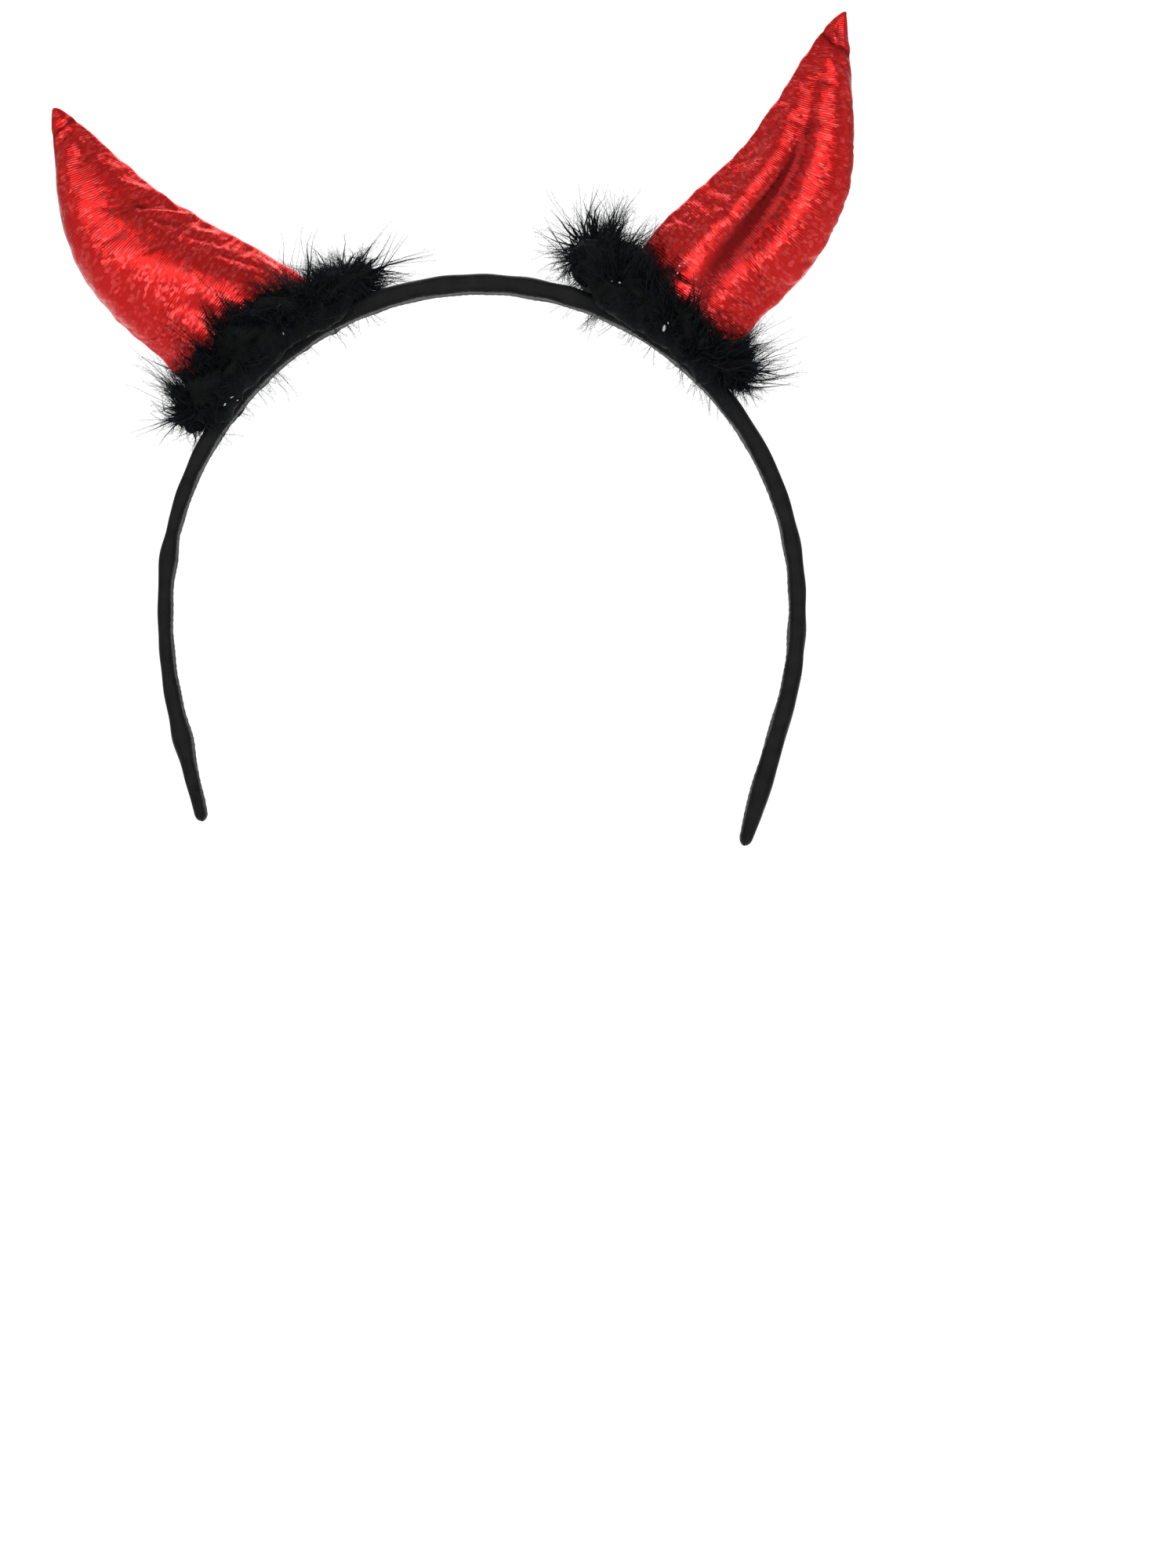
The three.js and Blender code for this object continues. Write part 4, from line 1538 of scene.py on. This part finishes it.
        pace, start = chance.uniform(0.8, 1.6, (count, 1, 1, 1)), chance.uniform(0, 1, (count, 1, 1, 1))
        turns = math.tau * (share * pace + start)
        tuft = [vector[:, None, None] for vector in (root, heading, curl, wave)]
        lines = tuft[0] + tuft[1] * share + tuft[2] * share**2 + tuft[3] * share * np.sin(turns)
        apart = layer.root_spread * self.scatter(chance, (count, layer.barbs, 1, 3))
        stray = layer.stray * self.scatter(chance, (count, layer.barbs, 1, 3)) * length[:, None, None]
        lines = lines + apart * (1 - 0.85 * np.clip(share, 0, 1)) + stray * share**2
        lines = self.keep_clear(lines.reshape(-1, layer.steps, 3), 0.45 * MM)
        in_lock = np.arange(len(lines)) % layer.barbs < layer.locks
        whole = np.linalg.norm(np.diff(lines, axis=1), axis=-1).max(1) < self.longest_stride
        return lines[whole], in_lock[whole]

    def scatter(self, chance: np.random.Generator, shape: tuple) -> Array:
        """Chance vectors that lie mostly near nothing and never far away: normal draws held within 1.6."""
        return np.clip(chance.normal(0, 1, shape), -1.6, 1.6)

    def keep_clear(self, points: Array, clearance: float) -> Array:
        """Moves points out of the horn and off the strip's outer face."""
        return self.horn.route.lift(self.horn.push_out(points, clearance), clearance)

    def layer(self, wisps: Wisps, finish: bpy.types.Material) -> bpy.types.Object:
        """One layer of down: barbs as tapered three-sided rods and barbules as slivers on them.

        Args:
            wisps: The layer.
            finish: The down.

        Returns:
            The layer's object.
        """
        lines, in_lock = self.barb_lines(wisps)
        rods, rod_faces, rod_tips = self.rods(lines, np.where(in_lock, wisps.lock_radius, 0))
        slivers, sliver_faces, sliver_tips = self.slivers(lines, wisps)
        name = f"down_{wisps.name}_{self.horn.side.label}"
        mesh = bpy.data.meshes.new(name)
        sliver_faces = sliver_faces + len(rods)
        fill_mesh(mesh, np.concatenate([rods, slivers]), [*rod_faces, sliver_faces])
        add_values(mesh, "tip", np.concatenate([rod_tips, sliver_tips]))
        return add_object(name, mesh, finish)

    def rods(self, lines: Array, lock_radii: Array) -> tuple[Array, list[Array], Array]:
        """Closed three-sided rods along lines, tapered to their tips: barbs alone or matted into locks.

        Args:
            lines: The centre lines, by barb and by point.
            lock_radii: The radius at the root of each line that is a lock, and 0 for each that isn't.

        Returns:
            The vertices, the arrays of faces, and each vertex's share of the way to its tip.
        """
        count, steps = lines.shape[:2]
        t = np.linspace(0, 1, steps)
        first, second = self.cross_directions(lines)
        angle = np.arange(3) / 3 * math.tau
        fine = self.barb_radius * (1 - 0.82 * t**1.3)
        radius = np.maximum(fine, lock_radii[:, None] * (1 - t) ** 1.3)
        ring = first[:, :, None] * np.cos(angle)[:, None] + second[:, :, None] * np.sin(angle)[:, None]
        points = lines[:, :, None] + ring * radius[..., None, None]
        start = np.arange(count)[:, None, None] * steps * 3
        row = np.arange(steps - 1)[None, :, None] * 3
        place = np.arange(3)[None, None]
        after = (place + 1) % 3
        low = start + row
        corners = [low + place, low + after, low + 3 + after, low + 3 + place]
        sides = np.stack(corners, -1).reshape(-1, 4)
        begin = start[:, 0] + np.array([2, 1, 0])
        end = start[:, 0] + (steps - 1) * 3 + np.array([0, 1, 2])
        tips = np.broadcast_to(t[None, :, None], (count, steps, 3))
        return points.reshape(-1, 3), [sides, begin, end], tips.ravel()

    def cross_directions(self, lines: Array) -> tuple[Array, Array]:
        """Two directions square to each line at each of its points, without a twist."""
        run = unit(np.gradient(lines, axis=1))
        start = np.cross(run[:, :1], np.array([0.31, 0.52, 0.79]))
        first = unit(start - run * np.sum(start * run, axis=-1, keepdims=True))
        return first, np.cross(run, first)

    def slivers(self, lines: Array, wisps: Wisps) -> tuple[Array, Array, Array]:
        """The barbules: closed slivers of four faces that lean forward off their barb on all sides.

        Args:
            lines: The barbs' centre lines.
            wisps: The layer, which says how many barbules a barb has and how long they are.

        Returns:
            The vertices, the faces, and each vertex's share of the way to its barb's tip.
        """
        chance = np.random.default_rng(self.seed + 50 + len(wisps.name))
        count, steps = lines.shape[:2]
        shape = (count, wisps.barbules)
        share = 0.18 + 0.8 * (np.arange(wisps.barbules) + chance.uniform(0, 1, shape)) / wisps.barbules
        row = np.minimum((share * (steps - 1)).astype(int), steps - 2)
        part = (share * (steps - 1) - row)[..., None]
        barb = np.arange(count)[:, None]
        root = lines[barb, row] * (1 - part) + lines[barb, row + 1] * part
        run = unit(lines[barb, row + 1] - lines[barb, row])
        beside = unit(np.cross(run, chance.normal(0, 1, (*shape, 3))))
        star = (share > 0.9) & (chance.uniform(0, 1, (count, 1)) < 0.35)
        lean = np.where(star[..., None], 0.35, chance.uniform(0.5, 1.5, (*shape, 1)))
        heading = unit(beside + run * lean)
        length = wisps.barbule_length * chance.uniform(0.5, 1.2, (*shape, 1))
        length = length * (1.1 - 0.45 * share[..., None]) * np.where(star[..., None], 1.7, 1)
        tip = root + heading * length
        first = unit(np.cross(heading, run))
        second = np.cross(heading, first)
        angle = np.arange(3) / 3 * math.tau
        ring = first[..., None, :] * np.cos(angle)[:, None] + second[..., None, :] * np.sin(angle)[:, None]
        base = root[..., None, :] + ring * self.barbule_radius
        points = np.concatenate([base, tip[..., None, :]], axis=-2).reshape(-1, 3)
        start = np.arange(count * wisps.barbules)[:, None, None] * 4
        faces = start + np.array([[0, 2, 1], [0, 1, 3], [1, 2, 3], [2, 0, 3]])
        return points, faces.reshape(-1, 3), np.repeat(share.ravel(), 4)

    def build(self, finish: bpy.types.Material) -> list[bpy.types.Object]:
        """Builds the trim's heart and both its layers of down."""
        return [self.heart(finish), self.layer(UNDERGROWTH, finish), self.layer(LONG_WISPS, finish)]


# Traces of glue


class Speck(NamedTuple):
    """A speck of dried glue: its place from the front and half sizes in mm, and its turn in degrees."""

    x: float
    z: float
    half_width: float
    half_height: float
    turn: float


SPECKS = [
    Speck(45.6, -10.0, 0.4, 0.85, 12),
    Speck(46.6, -8.6, 0.16, 0.3, -20),
    Speck(49.4, 5.6, 0.3, 0.2, 30),
    Speck(50.7, 6.3, 0.22, 0.22, 0),
    Speck(48.9, 3.4, 0.16, 0.28, 40),
    Speck(18.1, 5.9, 0.36, 0.26, -20),
    Speck(34.7, 1.1, 0.3, 0.22, 10),
    Speck(32.8, 1.8, 0.18, 0.12, 0),
    Speck(62.0, -16.9, 0.34, 0.18, 15),
    Speck(-62.5, -28.6, 0.18, 0.42, 35),
    Speck(-60.8, -26.7, 0.12, 0.5, 62),
    Speck(-59.3, -27.6, 0.26, 0.14, -20),
    Speck(-47.9, -11.4, 0.14, 0.34, -20),
]


@dataclass
class GlueTraces:
    """Dried specks of clear glue and one curved glue thread, caught in the front of the down."""

    carriers: list[bpy.types.Object]
    rings: int = 9
    sides: int = 12
    neighbours: int = 60
    thread_start: tuple = (-62.6, -8.6)
    thread_end: tuple = (-57.9, -13.9)
    thread_bow: float = 0.9 * MM
    thread_radius: float = 0.09 * MM
    thread_rings: int = 24

    def __post_init__(self) -> None:
        """Gathers the carriers' points on the front side."""
        points = np.concatenate([read_points(carrier.data) for carrier in self.carriers])
        self.points = points[points[:, 1] < 0]

    def front(self, x: float, z: float) -> float:
        """How far forward the carriers reach at a place, by the points nearest to it in the front view."""
        apart = np.hypot(self.points[:, 0] - x, self.points[:, 2] - z)
        nearest = np.argpartition(apart, self.neighbours)[: self.neighbours]
        return float(np.quantile(self.points[nearest, 1], 0.1))

    def speck(self, speck: Speck) -> Skin:
        """One speck: an ellipsoid a little flatter than it is wide, turned in the front view.

        Args:
            speck: Its place and sizes.

        Returns:
            Its skin.
        """
        level = np.linspace(0, math.pi, self.rings + 2)[:, None]
        turn = np.arange(self.sides)[None] / self.sides * math.tau
        across = speck.half_width * MM * np.sin(level) * np.cos(turn)
        deep = 0.7 * min(speck.half_width, speck.half_height) * MM * np.sin(level) * np.sin(turn)
        high = speck.half_height * MM * np.cos(level) + 0 * turn
        slant = math.radians(speck.turn)
        x = speck.x * MM + across * math.cos(slant) + high * math.sin(slant)
        z = speck.z * MM - across * math.sin(slant) + high * math.cos(slant)
        points = np.stack([x, self.front(speck.x * MM, speck.z * MM) + deep, z], -1)
        return Skin(points[1:-1], points[[0, -1], 0])

    def thread(self) -> Skin:
        """The thread: a tapered tube along a bow, a sine's height beside the line between its ends."""
        t = np.linspace(0, 1, self.thread_rings + 2)
        (x0, z0), (x1, z1) = self.thread_start, self.thread_end
        run = unit(np.array([x1 - x0, z1 - z0]))
        bow = self.thread_bow * np.sin(math.pi * t)
        x, z = (x0 + (x1 - x0) * t) * MM - bow * run[1], (z0 + (z1 - z0) * t) * MM + bow * run[0]
        ends = np.array([self.front(x[0], z[0]), self.front(x[-1], z[-1])])
        y = np.interp(t, [0, 1], ends) - 0.4 * MM * np.sin(math.pi * t)
        turn = np.arange(self.sides)[None] / self.sides * math.tau
        radius = self.thread_radius * np.sqrt(np.sin(math.pi * np.clip(t, 0.001, 0.999)))[:, None]
        ring_x = x[:, None] - radius * np.cos(turn) * run[1]
        ring_z = z[:, None] + radius * np.cos(turn) * run[0]
        points = np.stack([ring_x, y[:, None] + radius * np.sin(turn), ring_z], -1)
        middle = np.stack([x, y, z], -1)
        return Skin(points[1:-1], middle[[0, -1]])

    def build(self, finish: bpy.types.Material) -> bpy.types.Object:
        """Builds the specks and the thread as one piece.

        Args:
            finish: The clear glue.

        Returns:
            The piece.
        """
        skins = [self.speck(speck) for speck in SPECKS] + [self.thread()]
        points, faces, count = [], [], 0
        for skin in skins:
            faces += [part + count for part in skin.faces()]
            points += [skin.rings.reshape(-1, 3), skin.poles]
            count += skin.rings.size // 3 + 2
        mesh = bpy.data.meshes.new("glue_traces")
        fill_mesh(mesh, np.concatenate(points), faces)
        return add_object("glue_traces", mesh, finish)


# The studio


@dataclass(frozen=True)
class Softbox:
    """A square studio light that faces a point, its bearing and height in degrees as seen from there."""

    name: str
    bearing: float
    height: float
    distance: float
    width: float
    power: float


@dataclass(frozen=True)
class Studio:
    """A pale floor, soft lights and the camera at the photograph's view."""

    frame_height: float = 390 * MM
    frame_middle: tuple = (26.9 * MM, -122 * MM)
    camera_distance: float = 1.5
    sensor: float = 36.0
    floor_level: float = -190 * MM
    floor_half: float = 12.0
    aim: tuple = (0, 0, -20 * MM)
    surround: float = 1.06
    boxes: tuple = (
        Softbox("key_light", -7, 8, 1.8, 2.0, 72.0),
        Softbox("left_light", -80, 20, 1.6, 1.0, 3.0),
        Softbox("right_light", 80, 20, 1.6, 1.0, 3.0),
        Softbox("back_light", 176, 48, 1.7, 1.4, 30.0),
    )

    def build(self) -> None:
        """Builds the floor, the surround, the lights and the camera."""
        self.add_floor()
        self.add_surround()
        for box in self.boxes:
            self.add_light(box)
        self.add_camera()

    def add_floor(self) -> None:
        """Lays the floor as one large square."""
        half, level = self.floor_half, self.floor_level
        signs = np.array([[-1, -1], [1, -1], [1, 1], [-1, 1]])
        corners = np.column_stack([signs * half, np.full(len(signs), level)])
        mesh = bpy.data.meshes.new("floor")
        fill_mesh(mesh, corners, [np.array([[0, 1, 2, 3]])])
        add_object("floor", mesh, StudioFloor().material())

    def add_surround(self) -> None:
        """Surrounds the scene with plain white light."""
        world = bpy.data.worlds.new("surround")
        world.use_nodes = True
        background = world.node_tree.nodes["Background"]
        background.inputs["Color"].default_value = (self.surround, self.surround, self.surround, 1)
        bpy.context.scene.world = world
        bpy.context.scene.view_settings.view_transform = "Standard"

    def add_light(self, box: Softbox) -> None:
        """Hangs one softbox, turned to the point that the lights aim at."""
        bearing, height = math.radians(box.bearing), math.radians(box.height)
        level = box.distance * math.cos(height)
        light = bpy.data.lights.new(box.name, "AREA")
        light.size = box.width
        light.energy = box.power
        obj = bpy.data.objects.new(box.name, light)
        x, y = level * math.sin(bearing), -level * math.cos(bearing)
        obj.location = (self.aim[0] + x, self.aim[1] + y, self.aim[2] + box.distance * math.sin(height))
        obj.rotation_euler = (math.pi / 2 - height, 0, bearing)
        bpy.context.scene.collection.objects.link(obj)

    def add_camera(self) -> None:
        """Stands the camera level in front, its lens set so that the photograph's frame fills the view."""
        camera = bpy.data.cameras.new("camera")
        camera.sensor_width = self.sensor
        camera.lens = self.sensor * self.camera_distance / self.frame_height
        obj = bpy.data.objects.new("camera", camera)
        middle_x, middle_z = self.frame_middle
        obj.location = (middle_x, -self.camera_distance, middle_z)
        obj.rotation_euler = (math.pi / 2, 0, 0)
        bpy.context.scene.collection.objects.link(obj)
        bpy.context.scene.camera = obj


def main() -> None:
    """Builds the studio and then the headband piece by piece, and logs each piece's triangles."""
    logging.basicConfig(level=logging.INFO, format="%(name)s: %(message)s")
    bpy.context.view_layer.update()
    Studio().build()
    route = StripRoute()
    pieces = [HeadbandStrip(route).build(SatinCover())]
    left = StuffedHorn(
        Side.LEFT, route, seat=53.9 * MM, length=80.2 * MM, width=37.7 * MM, depth=25.5 * MM,
        sections=LEFT_SECTIONS, dents=LEFT_DENTS, folds=LEFT_FOLDS,
        crease_rise=0.94, bluntness=0.6, seed=21,
    )
    right = StuffedHorn(
        Side.RIGHT, route, seat=51.8 * MM, length=89.4 * MM, width=34.5 * MM, depth=24.5 * MM,
        sections=RIGHT_SECTIONS, dents=RIGHT_DENTS, folds=RIGHT_FOLDS,
        crease_rise=0.915, bluntness=0.75, seed=42,
    )
    foil, down = FoilCloth().material(), Down().material()
    pieces += [left.build(foil), right.build(foil)]
    pieces += FeatherTrim(left, LEFT_MASSES, seed=5).build(down)
    pieces += FeatherTrim(right, RIGHT_MASSES, seed=6).build(down)
    carriers = [piece for piece in pieces if piece.name.startswith(("stuffed_horn", "down_undergrowth"))]
    pieces.append(GlueTraces(carriers).build(ClearGlue().material()))
    for piece in pieces:
        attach(piece, BODY)
        triangles = sum(len(face.vertices) - 2 for face in piece.data.polygons)
        log.info("%s has %d triangles", piece.name, triangles)


if __name__ == "__main__":
    main()
